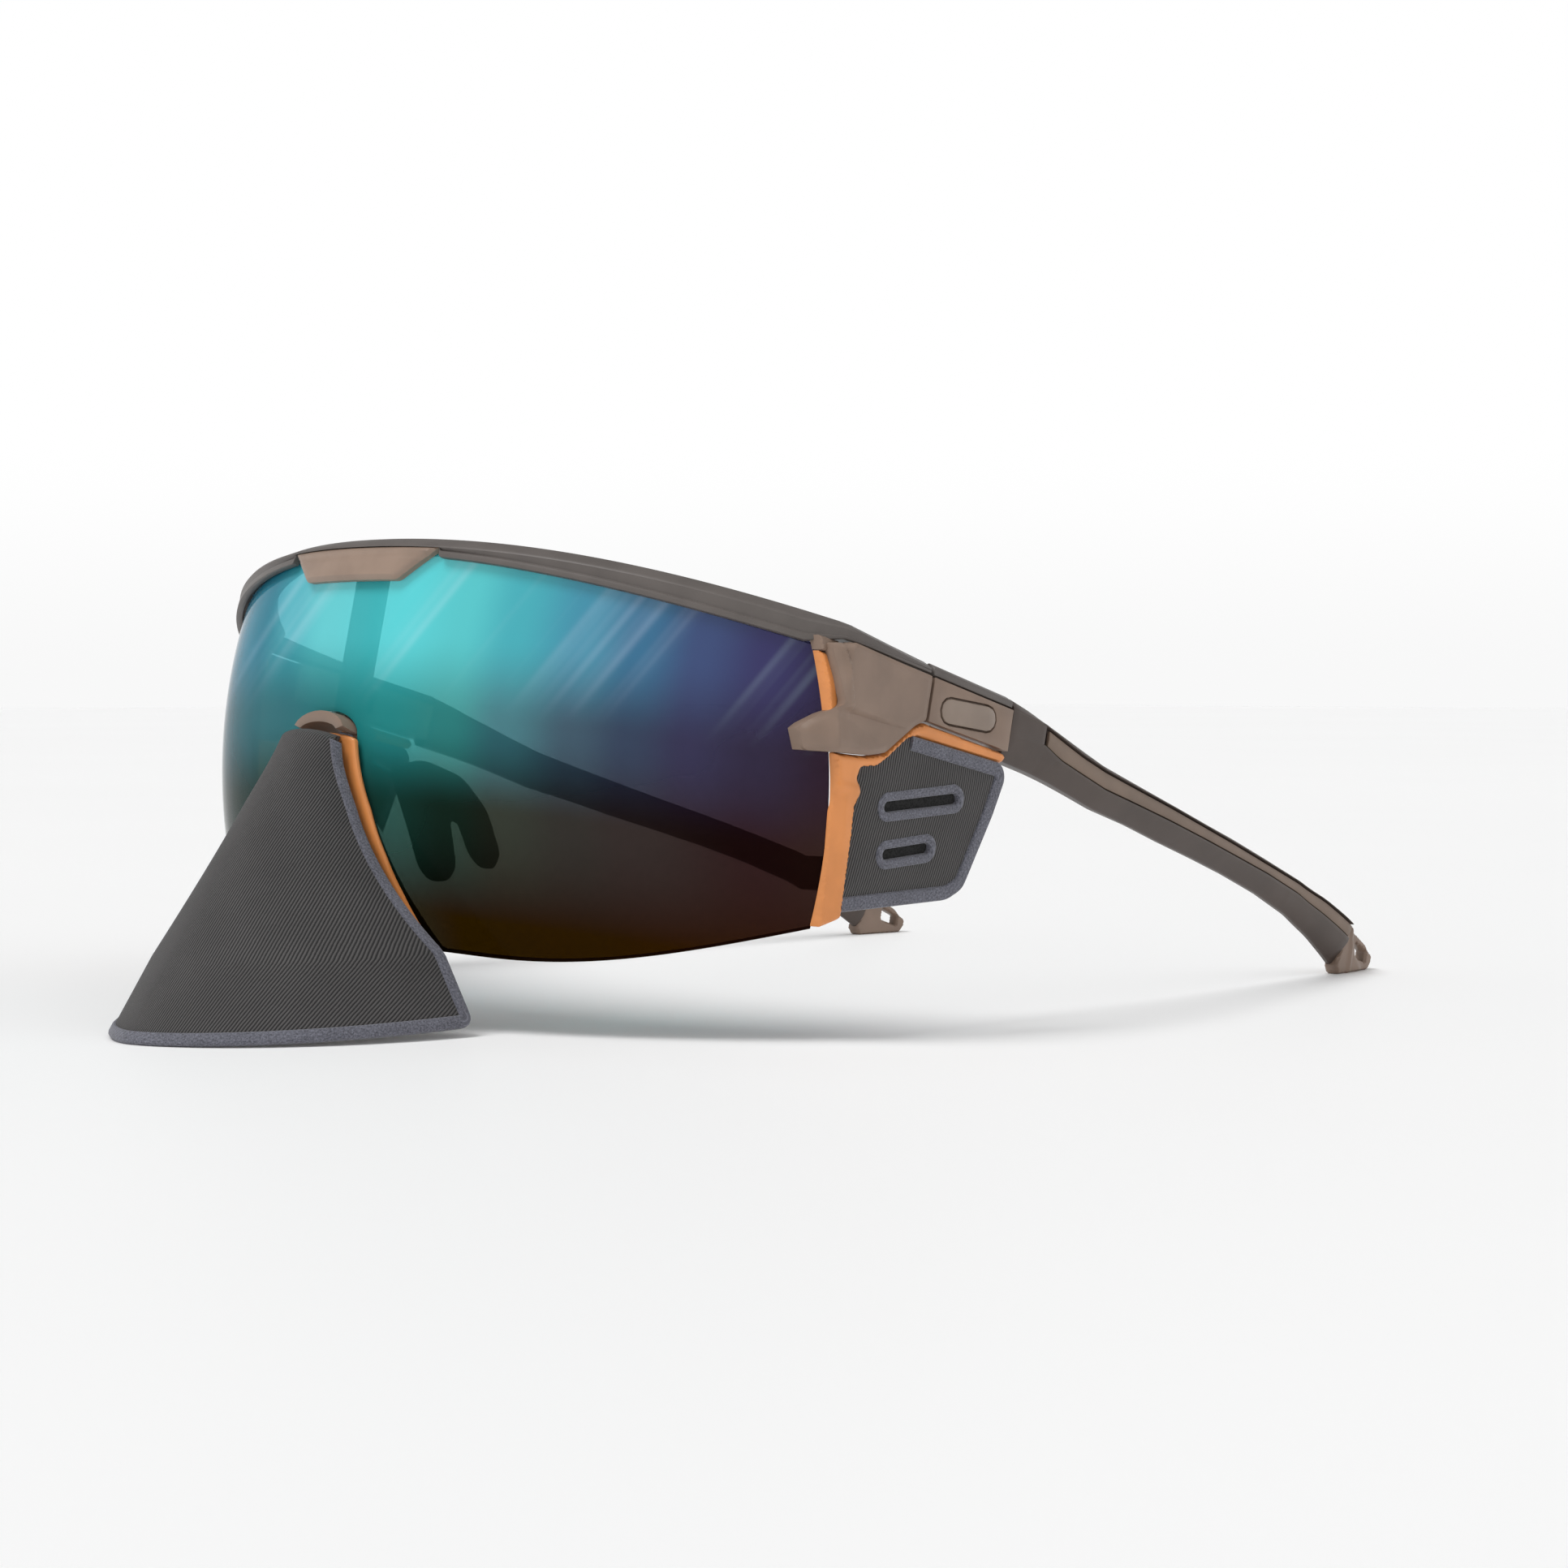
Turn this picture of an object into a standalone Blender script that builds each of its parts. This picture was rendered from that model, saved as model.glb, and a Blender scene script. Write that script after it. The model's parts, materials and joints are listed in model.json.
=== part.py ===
"""Glacier glasses: a one-piece shield lens under a brow bar, with folding temples and
clip-on shields over the nose and at both sides.

Everything is modelled in the wearing frame: +X to the wearer's left, +Y back along the
temples, +Z up, origin at the front of the brow bar's middle. One empty, stance, tips
the whole object so that it stands on the nose shield and on both temple tips.
Lengths are in metres.
"""

import math

import bmesh
import bpy
from mathutils import Vector

MM = 0.001
GAP = 0.3 * MM  # clearance between pieces that touch
CURVE_GAP = 0.4 * MM  # the same over the lens's curved face, whose facets cut corners
THROUGH = 10 * MM  # how far a cutter reaches past what it cuts

# Where it stands on a table: on the nose shield's front and on both temple tips
NOSE_FOOT_Z = -73.9 * MM
TIP_FOOT_Z = -29.1 * MM

# Lens: a patch of a sphere
LENS_RADIUS = 86.0 * MM
LENS_MID_Z = -15.0 * MM
LENS_THICK = 1.6 * MM
LENS_HALF_WIDTH = 67.0 * MM
LENS_WIDEST_Z = -26.0 * MM
LENS_SIDE_BOW = 8.5  # how fast the side edge curves in, per metre
LENS_TUCK = 0.9 * MM  # how far the lens goes up behind the bar's lip
LENS_LOW_Z = -54.7 * MM
LENS_LOW_X = 27.0 * MM  # where the lower edge starts to rise
LENS_SIDE_RISE = 9.9 * MM
NOTCH_HALF = 6.2 * MM
NOTCH_TOP = -23.6 * MM
NOTCH_SPRING = -26.8 * MM  # where the arch of the notch starts
NOTCH_FLARE = 54.8 * MM  # parabola that opens the notch downwards

# Depth of the lens's side edge, from which the pieces at the sides are placed
LENS_EDGE_Y = LENS_RADIUS - math.sqrt(
    LENS_RADIUS**2 - LENS_HALF_WIDTH**2 - (LENS_WIDEST_Z - LENS_MID_Z) ** 2
)

# Brow bar
BAR_TOP_Z = 1.5 * MM
BAR_TOP_DROP = 5.8 * MM
BAR_EDGE_Z = -1.2 * MM  # its lower edge, where the lens comes out
BAR_EDGE_DROP = 7.4 * MM
BAR_PROUD = 1.5 * MM
BAR_DEPTH = 4.0 * MM
BAR_FACET = 1.4 * MM
BAR_TURN = 3.6 * MM  # how far inside the lens's edge the bar starts to turn back
BAR_END_INSET = 0.3 * MM  # its end, from the end piece's outer face
INSERT_TOP_HALF = 16.3 * MM
INSERT_LOW_HALF = 10.4 * MM
INSERT_TOP_Z = -0.7 * MM
INSERT_LOW_Z = -5.1 * MM
INSERT_THICK = 1.3 * MM

# End pieces, hinges and temples
SIDE_STAND_OFF = 1.4 * MM  # outer face of end piece and temple, from the lens's edge
SIDE_X = LENS_HALF_WIDTH + SIDE_STAND_OFF
SIDE_THICK = 5.6 * MM
PLATE_THICK = 1.2 * MM
LUG_FRONT = -1.4 * MM  # from the lens's edge
LUG_LENGTH = 15.2 * MM
LUG_TOP_Z = -7.1 * MM
LUG_LOW_Z = -14.1 * MM
SPLIT_Y = LENS_EDGE_Y + LUG_LENGTH  # seam between end piece and temple
HINGE_X = SIDE_X - 3.0 * MM
HINGE_Y = SPLIT_Y + 2.6 * MM
KNUCKLE_RADIUS = 1.8 * MM
KNUCKLE_TOP = -9.4 * MM
KNUCKLE_LOW = -12.9 * MM
PIN_RADIUS = 0.8 * MM
FRONT_BLOCK_LENGTH = 17.0 * MM
BADGE_THICK = 0.8 * MM
BADGE_RADIUS = 1.7 * MM
BADGE_PROUD = 0.1 * MM
TEMPLE_LENGTH = 126.0 * MM  # hinge axis to the end of the tip
TIP_LENGTH = 11.6 * MM
ARM_START = SPLIT_Y + FRONT_BLOCK_LENGTH + GAP
TIP_END = HINGE_Y + TEMPLE_LENGTH
TIP_START = TIP_END - TIP_LENGTH
ARM_END = TIP_START - GAP
ARM_TOE_IN = 11.4 * MM
ARM_FRONT_THICK = 5.0 * MM
ARM_REAR_THICK = 3.4 * MM
GROOVE_SHARE = 0.09  # where the arm's groove starts
GROOVE_DEPTH = 0.9 * MM
INLAY_THICK = 0.4 * MM
INLAY_MARGIN = 0.25 * MM

# Shares of the arm's length at which its section is given
ARM_SHARES = (
    0, 0.05, 0.07, 0.10, 0.17, 0.24, 0.33, 0.42, 0.52, 0.62, 0.71, 0.80, 0.86, 0.92, 0.96, 1
)  # fmt: skip

# Side shields
FRAME_THICK = 1.4 * MM
FABRIC_THICK = 0.8 * MM
BINDING_THICK = 1.5 * MM
BINDING_WIDTH = 2.1 * MM
SLOT_HALF = 0.95 * MM
RING_WIDTH = 1.2 * MM
SHIELD_X = SIDE_X - FRAME_THICK  # inner face of the shield's frame
SHIELD_BEND_Z = -24.0 * MM
SHIELD_LEAN = 0.082
LEG_TOP_Z = -22.4 * MM  # the leg that lies along the lens's side edge
LEG_LOW_Z = -44.8 * MM

# Nose shield
NOSE_TOP_Z = -28.0 * MM
NOSE_TOP_Y = -4.7 * MM
NOSE_FRONT_Y = -22.7 * MM  # front of the lower edge
NOSE_LOW_HALF = 25.5 * MM
NOSE_REAR_Y = 14.5 * MM
NOSE_REAR_LIFT = 1.3 * MM
NOSE_FRAME_WIDTH = 2.0 * MM
NOSE_FRAME_OUTSIDE = 1.2 * MM  # how much of that lies outside the notch's edge
NOSE_FRAME_THICK = 0.9 * MM
NOSE_BINDING_WIDTH = 2.6 * MM
NOSE_STAND_OFF = CURVE_GAP + NOSE_FRAME_THICK + GAP + BINDING_THICK / 2
NOSE_CORNER = 0.72  # share of the way down where the rear edge leaves the lens

# Nose bridge and pads
BRIDGE_WALL = 1.6 * MM
BRIDGE_FRONT_Y = -1.3 * MM
BRIDGE_LEG_FRONT_Y = 1.7 * MM
BRIDGE_REAR_Y = LENS_THICK + 3.0 * MM
BRIDGE_LEG_Z = -31.0 * MM
STRUT_HALF = 3.1 * MM
STRUT_SLOT_HALF = 0.5 * MM
PAD_THICK = 2.4 * MM
PAD_SPREAD = 3.0 * MM  # how far outside the notch's edge the pads start
PAD_SLOPE = 0.22
CORE_RADIUS = 0.6 * MM
CORE_X = NOTCH_HALF - 0.9 * MM
CORE_Z = -30.0 * MM

# Slope of the table, which passes through the three feet
FLOOR_SLOPE = (TIP_FOOT_Z - NOSE_FOOT_Z) / (TIP_END - NOSE_FRONT_Y)
PITCH = math.atan(FLOOR_SLOPE)

SIDES = (("left", 1), ("right", -1))

COLOURS = {
    "bar": ((0.16, 0.145, 0.135), 0.55, 0.0),
    "taupe": ((0.24, 0.19, 0.155), 0.45, 0.1),
    "lens": ((0.03, 0.30, 0.33), 0.05, 0.6),
    "orange": ((0.72, 0.27, 0.07), 0.4, 0.0),
    "fabric": ((0.035, 0.035, 0.037), 0.95, 0.0),
    "binding": ((0.11, 0.12, 0.15), 0.9, 0.0),
    "rubber": ((0.03, 0.03, 0.03), 0.8, 0.0),
    "steel": ((0.6, 0.6, 0.6), 0.3, 1.0),
}


# ---------------------------------------------------------------- scene and helpers


def clear_scene():
    for obj in list(bpy.data.objects):
        bpy.data.objects.remove(obj, do_unlink=True)


def new_collection(name):
    collection = bpy.data.collections.new(name)
    bpy.context.scene.collection.children.link(collection)
    return collection


def material(node, kind):
    """A Principled material of the node's own."""
    colour, roughness, metallic = COLOURS[kind]
    made = bpy.data.materials.new(node)
    made.use_nodes = True
    shader = made.node_tree.nodes["Principled BSDF"]
    shader.inputs["Base Color"].default_value = (*colour, 1.0)
    shader.inputs["Roughness"].default_value = roughness
    shader.inputs["Metallic"].default_value = metallic
    return made


def new_empty(name, place=(0, 0, 0), parent=None):
    empty = bpy.data.objects.new(name, None)
    empty.empty_display_size = 10 * MM
    empty.location = place
    empty.parent = parent
    PARTS.objects.link(empty)
    return empty


def place_mesh(name, mesh_data, kind, parent):
    """An object of this mesh, whose points are in the wearing frame."""
    mesh = bpy.data.meshes.new(name)
    mesh_data.to_mesh(mesh)
    mesh_data.free()
    obj = bpy.data.objects.new(name, mesh)
    obj.data.materials.append(material(name, kind))
    obj.parent = parent
    if parent is not STANCE:
        obj.location = -parent.location
    PARTS.objects.link(obj)
    return obj


def back_from(depth, *pairs):
    """(y, z) points from (back from a depth, up) in millimetres."""
    return [(depth + back * MM, up * MM) for back, up in pairs]


def lerp(a, b, t):
    return a + (b - a) * t


def along(points, t):
    """The point at the share t of the way along a chain of (share, values) keys."""
    for (start, first), (end, second) in zip(points, points[1:]):
        if t <= end:
            share = max(0.0, (t - start) / (end - start))
            return tuple(lerp(a, b, share) for a, b in zip(first, second))
    return points[-1][1]


def loft(rings):
    """A closed solid through rings of points, with a cap on each end."""
    made = bmesh.new()
    rows = [[made.verts.new(point) for point in ring] for ring in rings]
    count = len(rows[0])
    for row, following in zip(rows, rows[1:]):
        for k in range(count):
            n = (k + 1) % count
            made.faces.new((row[k], row[n], following[n], following[k]))
    made.faces.new(rows[0])
    made.faces.new(rows[-1])
    face_out(made)
    return made


def sheet(columns, rows, place, outward):
    """An open grid: place(i, j) puts each corner. outward is where its faces look."""
    made = bmesh.new()
    grid = [[made.verts.new(place(i, j)) for j in range(rows)] for i in range(columns)]
    for i in range(columns - 1):
        for j in range(rows - 1):
            made.faces.new(
                (grid[i][j], grid[i + 1][j], grid[i + 1][j + 1], grid[i][j + 1])
            )
    made.normal_update()
    facing = sum((face.normal for face in made.faces), Vector()).dot(Vector(outward))
    if facing < 0:
        bmesh.ops.reverse_faces(made, faces=made.faces)
    return made


def face_out(made):
    """Turns a closed solid's faces outwards."""
    bmesh.ops.recalc_face_normals(made, faces=made.faces)
    if made.calc_volume(signed=True) < 0:
        bmesh.ops.reverse_faces(made, faces=made.faces)


def thicken(obj, thickness, offset):
    """offset -1 grows inwards, 0 both ways and 1 outwards."""
    solidify = obj.modifiers.new("Thickness", "SOLIDIFY")
    solidify.thickness = thickness
    solidify.offset = offset
    solidify.use_even_offset = True


def slab(outline, inner, outer, side=1, bends=()):
    """An outline of (y, z) points, filled between x = inner(y, z) and outer(y, z).

    bends are the (axis, place) lines where the slab folds, so that it has points there.
    """
    made = bmesh.new()
    made.faces.new([made.verts.new((0, y, z)) for y, z in outline])
    for axis, place in bends:
        whole = made.verts[:] + made.edges[:] + made.faces[:]
        normal = Vector((0, axis == "y", axis == "z"))
        bmesh.ops.bisect_plane(
            made, geom=whole, dist=1e-6, plane_co=normal * place, plane_no=normal
        )
    grown = bmesh.ops.extrude_face_region(made, geom=made.faces[:])
    far = {item for item in grown["geom"] if isinstance(item, bmesh.types.BMVert)}
    for vert in made.verts:
        reach = outer if vert in far else inner
        vert.co.x = side * reach(vert.co.y, vert.co.z)
    bmesh.ops.triangulate(made, faces=made.faces)
    face_out(made)
    return made


def prism(outline, low, high, side=1):
    """A plan outline of (x, y) points, filled between two heights."""
    made = bmesh.new()
    face = made.faces.new([made.verts.new((side * x, y, low)) for x, y in outline])
    grown = bmesh.ops.extrude_face_region(made, geom=[face])
    for item in grown["geom"]:
        if isinstance(item, bmesh.types.BMVert):
            item.co.z = high
    face_out(made)
    return made


def arc(centre, radius, first, last, steps):
    """Points of an arc, with its angles in degrees."""
    turns = [math.radians(lerp(first, last, k / steps)) for k in range(steps + 1)]
    return [
        (centre[0] + radius * math.cos(turn), centre[1] + radius * math.sin(turn))
        for turn in turns
    ]


def box(low, high, side=1):
    """A box between two corners."""
    low, high = Vector(low), Vector(high)
    made = bmesh.new()
    bmesh.ops.create_cube(made, size=1.0)
    for vert in made.verts:
        for axis in range(3):
            vert.co[axis] = lerp(low[axis], high[axis], vert.co[axis] + 0.5)
        vert.co.x *= side
    face_out(made)
    return made


def rod(start, end, radius, segments=12):
    """A cylinder from start to end."""
    start, end = Vector(start), Vector(end)
    run = end - start
    made = bmesh.new()
    bmesh.ops.create_cone(
        made,
        cap_ends=True,
        segments=segments,
        radius1=radius,
        radius2=radius,
        depth=run.length,
    )
    turn = run.to_track_quat("Z", "Y").to_matrix().to_4x4()
    turn.translation = (start + end) / 2
    bmesh.ops.transform(made, matrix=turn, verts=made.verts)
    return made


def helper(name, mesh_data):
    """A tool for a Boolean: seen as wire, and not a part."""
    mesh = bpy.data.meshes.new(name)
    mesh_data.to_mesh(mesh)
    mesh_data.free()
    obj = bpy.data.objects.new(name, mesh)
    obj.parent = STANCE
    obj.hide_render = True
    obj.display_type = "WIRE"
    CUTTERS.objects.link(obj)
    return obj


def boolean(obj, tool, operation, solver="EXACT"):
    modifier = obj.modifiers.new(tool.name, "BOOLEAN")
    modifier.operation = operation
    modifier.solver = solver
    modifier.object = tool


# ---------------------------------------------------------------- shared surfaces


def floor_z(y):
    """Height of the table under y."""
    return NOSE_FOOT_Z + FLOOR_SLOPE * (y - NOSE_FRONT_Y)


def lens_y(x, z, proud=0.0):
    """Depth of a surface that lies proud in front of the lens's outer face."""
    radius = LENS_RADIUS + proud
    return LENS_RADIUS - math.sqrt(radius**2 - x**2 - (z - LENS_MID_Z) ** 2)


def lens_x(y, z, proud=0.0):
    """Half-width of that surface at a depth and a height."""
    radius = LENS_RADIUS + proud
    return math.sqrt(radius**2 - (LENS_RADIUS - y) ** 2 - (z - LENS_MID_Z) ** 2)


def bar_edge(x):
    """Lower edge of the brow bar's lip."""
    return BAR_EDGE_Z - BAR_EDGE_DROP * (abs(x) / LENS_HALF_WIDTH) ** 1.9


def bar_top(x):
    return BAR_TOP_Z - BAR_TOP_DROP * (abs(x) / LENS_HALF_WIDTH) ** 2.6


def lens_top(x):
    return bar_edge(x) + LENS_TUCK


def lens_bottom(x):
    """Lower edge of the lens: the notch over the nose, then the rise to the side."""
    x = abs(x)
    if x < NOTCH_HALF:
        arch = math.sqrt(1 - (x / NOTCH_HALF) ** 2)
        notch = lerp(NOTCH_SPRING, NOTCH_TOP, arch)
    else:
        notch = NOTCH_SPRING - math.sqrt(NOTCH_FLARE * (x - NOTCH_HALF))
    reach = max(0.0, (x - LENS_LOW_X) / (LENS_HALF_WIDTH - LENS_LOW_X))
    return max(notch, LENS_LOW_Z + LENS_SIDE_RISE * reach**2.4)


def notch_half(z):
    """Half-width of the notch below its arch."""
    return NOTCH_HALF + max(0.0, NOTCH_SPRING - z) ** 2 / NOTCH_FLARE


def lens_side(z):
    """Half-width of the lens at a height."""
    return LENS_HALF_WIDTH - LENS_SIDE_BOW * (z - LENS_WIDEST_Z) ** 2


def lens_edge_y(z):
    """Depth of the lens's side edge at a height."""
    return lens_y(lens_side(z), z)


# ---------------------------------------------------------------- front


def lens_columns(in_notch=5, beyond=20):
    """Half-widths of the lens's columns of points, closer together over the notch."""
    columns = [
        NOTCH_HALF * math.sin(math.pi / 2 * k / in_notch) for k in range(in_notch + 1)
    ]
    span = LENS_HALF_WIDTH - NOTCH_HALF
    columns += [NOTCH_HALF + span * (k / beyond) ** 1.6 for k in range(1, beyond + 1)]
    return [-x for x in reversed(columns[1:])] + columns


def make_lens():
    columns = lens_columns()
    rows = 7

    def place(i, j):
        nominal = columns[i]
        z = lerp(lens_bottom(nominal), lens_top(nominal), j / (rows - 1))
        x = nominal * lens_side(z) / LENS_HALF_WIDTH
        return (x, lens_y(x, z), z)

    lens = place_mesh(
        "lens", sheet(len(columns), rows, place, (0, -1, 0)), "lens", STANCE
    )
    thicken(lens, LENS_THICK, -1)


def bar_section(x):
    """The bar's section over the lens, as (outwards from the lens, height)."""
    top = bar_top(x)
    lens_edge = lens_top(x) + GAP
    over_insert = abs(x) <= INSERT_TOP_HALF + 3 * GAP
    edge = INSERT_TOP_Z + 2 * GAP if over_insert else bar_edge(x)
    return (
        (-BAR_DEPTH, top - 0.5 * BAR_FACET),
        (-0.1 * BAR_DEPTH, top),
        (BAR_PROUD, top - BAR_FACET),
        (0.87 * BAR_PROUD, edge),
        (CURVE_GAP, edge),
        (CURVE_GAP, lens_edge),
        (-BAR_DEPTH, lens_edge),
    )


def bar_ring_on_lens(angle, side):
    """A ring of the bar where it runs round the lens; angle is from straight ahead."""
    x = LENS_RADIUS * math.sin(angle)
    ring = []
    for proud, z in bar_section(x):
        radius = math.sqrt(LENS_RADIUS**2 - (z - LENS_MID_Z) ** 2) + proud
        y = LENS_RADIUS - radius * math.cos(angle)
        ring.append((side * radius * math.sin(angle), y, z))
    return ring


def bar_ring_on_end(y, top, round_in, side):
    """A ring of the bar over the end piece; round_in draws its outer face in."""
    low = lug_top(y) + GAP
    inner = SIDE_X - SIDE_THICK
    outer = SIDE_X - BAR_END_INSET - round_in
    return [
        (side * inner, y, top - 0.4 * MM),
        (side * (outer - 1.4 * MM), y, top),
        (side * outer, y, top - 0.7 * MM),
        (side * outer, y, low),
        (side * (outer - 0.8 * MM), y, low),
        (side * (outer - 1.6 * MM), y, low + 0.1 * MM),
        (side * inner, y, low + 0.1 * MM),
    ]


def lug_top(y):
    """Top of the end piece, where the bar's end lies on it."""
    return LUG_TOP_Z - 0.055 * (y - LENS_EDGE_Y + 1.2 * MM)


def make_brow_bar():
    reach = math.asin((LENS_HALF_WIDTH - BAR_TURN) / LENS_RADIUS)
    step_in = math.asin((INSERT_TOP_HALF + 2 * GAP) / LENS_RADIUS)
    angles = [reach * k / 17 for k in range(18)]
    angles = [a for a in angles if abs(a - step_in) > math.radians(1)]
    angles = sorted(angles + [step_in, step_in + math.radians(0.7)])
    end_keys = (
        (LENS_EDGE_Y - 1.6 * MM, -4.2 * MM, 0.8 * MM),
        (LENS_EDGE_Y + 0.2 * MM, -4.4 * MM, 0.2 * MM),
        (LENS_EDGE_Y + 2.3 * MM, -4.7 * MM, 0.0),
        (LENS_EDGE_Y + 7.8 * MM, -5.3 * MM, 0.0),
        (SPLIT_Y - GAP, -6.0 * MM, 0.0),
    )

    def half(side):
        rings = [bar_ring_on_lens(angle, side) for angle in angles]
        return rings + [bar_ring_on_end(*key, side) for key in end_keys]

    rings = half(-1)[::-1] + half(1)[1:]
    place_mesh("brow_bar", loft(rings), "bar", STANCE)


def make_brow_insert():
    columns, rows = 9, 3

    def place(i, j):
        half = lerp(INSERT_LOW_HALF, INSERT_TOP_HALF, j / (rows - 1))
        x = lerp(-half, half, i / (columns - 1))
        z = lerp(INSERT_LOW_Z, INSERT_TOP_Z, j / (rows - 1))
        return (x, lens_y(x, z, CURVE_GAP), z)

    insert = place_mesh(
        "brow_insert", sheet(columns, rows, place, (0, -1, 0)), "taupe", STANCE
    )
    thicken(insert, INSERT_THICK, 1)


def bridge_arch():
    """The arch that lines the notch and runs down its sides."""
    outer_half = NOTCH_HALF - GAP
    outer_rise = NOTCH_TOP - NOTCH_SPRING - GAP
    path = [(-1.0, BRIDGE_LEG_Z)]
    path += [
        (math.sin(math.radians(a)), math.cos(math.radians(a)))
        for a in range(-90, 91, 15)
    ]
    path += [(1.0, BRIDGE_LEG_Z)]
    rings = []
    last = len(path) - 1
    for k, (across, up) in enumerate(path):
        in_leg = k in (0, last)
        z_out = up if in_leg else NOTCH_SPRING + outer_rise * up
        z_in = up if in_leg else NOTCH_SPRING + (outer_rise - BRIDGE_WALL) * up
        x_out = across * outer_half
        x_in = across * (outer_half - BRIDGE_WALL)
        front = BRIDGE_LEG_FRONT_Y if k in (0, 1, last - 1, last) else BRIDGE_FRONT_Y
        rings.append(
            (
                (x_out, front, z_out),
                (x_out, BRIDGE_REAR_Y, z_out),
                (x_in, BRIDGE_REAR_Y, z_in),
                (x_in, front, z_in),
            )
        )
    return loft(rings)


def make_nose_bridge():
    bridge = place_mesh("nose_bridge", bridge_arch(), "taupe", STANCE)
    top = lens_top(0) - 0.1 * MM
    low = NOTCH_TOP - 0.75 * BRIDGE_WALL
    front = lens_y(STRUT_HALF, top) + LENS_THICK + CURVE_GAP
    rear = BRIDGE_REAR_Y - 0.1 * MM
    for name, side in SIDES:
        leg = box((STRUT_SLOT_HALF, front, low), (STRUT_HALF, rear, top), side)
        boolean(bridge, helper(f"strut_{name}", leg), "UNION")
    half = STRUT_HALF + 0.2 * MM
    foot = box((-half, front, top - 2 * MM), (half, rear + 0.05 * MM, top))
    boolean(bridge, helper("strut_head", foot), "UNION")


def pad_x(y, z):
    """Middle of the pad's thickness: it leans outwards to the rear and downwards."""
    return NOTCH_HALF + PAD_SPREAD + PAD_SLOPE * (y - BRIDGE_REAR_Y + CORE_Z - z)


def make_nose_pad(name, side, parent):
    """A soft pad with two fingers, on its bendable core."""
    outline = back_from(
        BRIDGE_REAR_Y,
        (0.6, -30.6), (5.4, -28.4), (11.4, -29.6), (15.4, -33.5), (17.7, -39.4),
        (16.8, -41.7), (14.8, -41.9), (13.2, -40.4), (11.2, -36.2), (9.8, -36.2),
        (11.0, -42.4), (10.0, -44.6), (7.4, -45.2), (5.6, -43.6), (4.0, -39.0),
    )  # fmt: skip
    half = PAD_THICK / 2
    body = slab(
        outline, lambda y, z: pad_x(y, z) - half, lambda y, z: pad_x(y, z) + half, side
    )
    pad = place_mesh(f"nose_pad_{name}", body, "rubber", parent)
    root = Vector((side * CORE_X, BRIDGE_REAR_Y + 2 * GAP, CORE_Z))
    end_y, end_z = BRIDGE_REAR_Y + 5.2 * MM, CORE_Z - 3.2 * MM
    end = Vector((side * pad_x(end_y, end_z), end_y, end_z))
    place_mesh(
        f"nose_pad_core_{name}", rod(root, end, CORE_RADIUS, 8), "steel", parent
    )
    beyond = end + (end - root).normalized() * GAP
    bore = rod(root, beyond, CORE_RADIUS + GAP, 8)
    boolean(pad, helper(f"pad_bore_{name}", bore), "DIFFERENCE")


# ---------------------------------------------------------------- end pieces


def lug_outer(y, z):
    return min(SIDE_X, lens_x(y, z, CURVE_GAP + PLATE_THICK))


def lug_inner(y, z):
    return min(SIDE_X - PLATE_THICK, lens_x(y, z, CURVE_GAP))


def make_end_piece(name, side):
    """The lug: an outer plate with a tab over the lens, a block and the hinge tongue."""
    front = LENS_EDGE_Y + LUG_FRONT
    rear = SPLIT_Y - GAP
    outline = [(front, lug_top(front)), (rear, lug_top(rear)), (rear, LUG_LOW_Z)]
    outline += back_from(
        LENS_EDGE_Y,
        (13.0, -15.2), (8.0, -20.0), (4.8, -21.0), (-0.2, -21.7), (-3.0, -22.1),
        (-4.8, -22.3), (-5.7, -19.6), (-5.2, -18.8), (-3.6, -17.2),
    )  # fmt: skip
    outline.append((front, -15.6 * MM))
    folds = [("y", LENS_EDGE_Y + y * MM) for y in (-4.2, -3.0, -1.8, -0.6, 0.8)]
    lug = place_mesh(
        f"end_piece_{name}",
        slab(outline, lug_inner, lug_outer, side, folds),
        "taupe",
        STANCE,
    )
    inner = SIDE_X - SIDE_THICK
    low, high = LUG_LOW_Z + 0.1 * MM, lug_top(rear) - 0.05 * MM
    start = LENS_EDGE_Y + 0.25 * LUG_LENGTH
    core = box((inner, start, low), (SIDE_X - 0.4 * MM, rear - 0.05 * MM, high), side)
    boolean(lug, helper(f"lug_block_{name}", core), "UNION")
    root = rear - 2 * MM
    around = arc((HINGE_X, HINGE_Y), KNUCKLE_RADIUS, 0, 180, 10)
    tongue = [(HINGE_X - KNUCKLE_RADIUS, root), (HINGE_X + KNUCKLE_RADIUS, root)] + around
    knuckle = prism(tongue, KNUCKLE_LOW, KNUCKLE_TOP, side)
    boolean(lug, helper(f"hinge_tongue_{name}", knuckle), "UNION")
    boolean(lug, helper(f"knuckle_bore_{name}", hinge_bore(side)), "DIFFERENCE")


def hinge_bore(side):
    """A cutter for the pin's hole through the knuckle and the block."""
    x = side * HINGE_X
    low, high = KNUCKLE_LOW - THROUGH, KNUCKLE_TOP + THROUGH
    return rod((x, HINGE_Y, low), (x, HINGE_Y, high), PIN_RADIUS + GAP)


def make_hinge_pin(name, side):
    x = side * HINGE_X
    top = block_top(HINGE_Y) - 0.1 * MM
    pin = rod((x, HINGE_Y, block_low(HINGE_Y) + 0.1 * MM), (x, HINGE_Y, top), PIN_RADIUS)
    place_mesh(f"hinge_pin_{name}", pin, "steel", STANCE)


def make_lens_clip(name, side):
    """The orange clip between the lens's side edge and the end piece."""
    rear = LENS_EDGE_Y + LUG_FRONT - GAP
    top, low = -8.7 * MM, -15.2 * MM
    outline = [(lens_edge_y(z) + 0.1 * MM, z) for z in (low, top)]
    outline += [(rear, z) for z in (top, low)]
    clip = slab(
        outline, lambda y, z: lens_side(z) + GAP, lambda y, z: SIDE_X - GAP, side
    )
    place_mesh(f"lens_clip_{name}", clip, "orange", STANCE)


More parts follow.
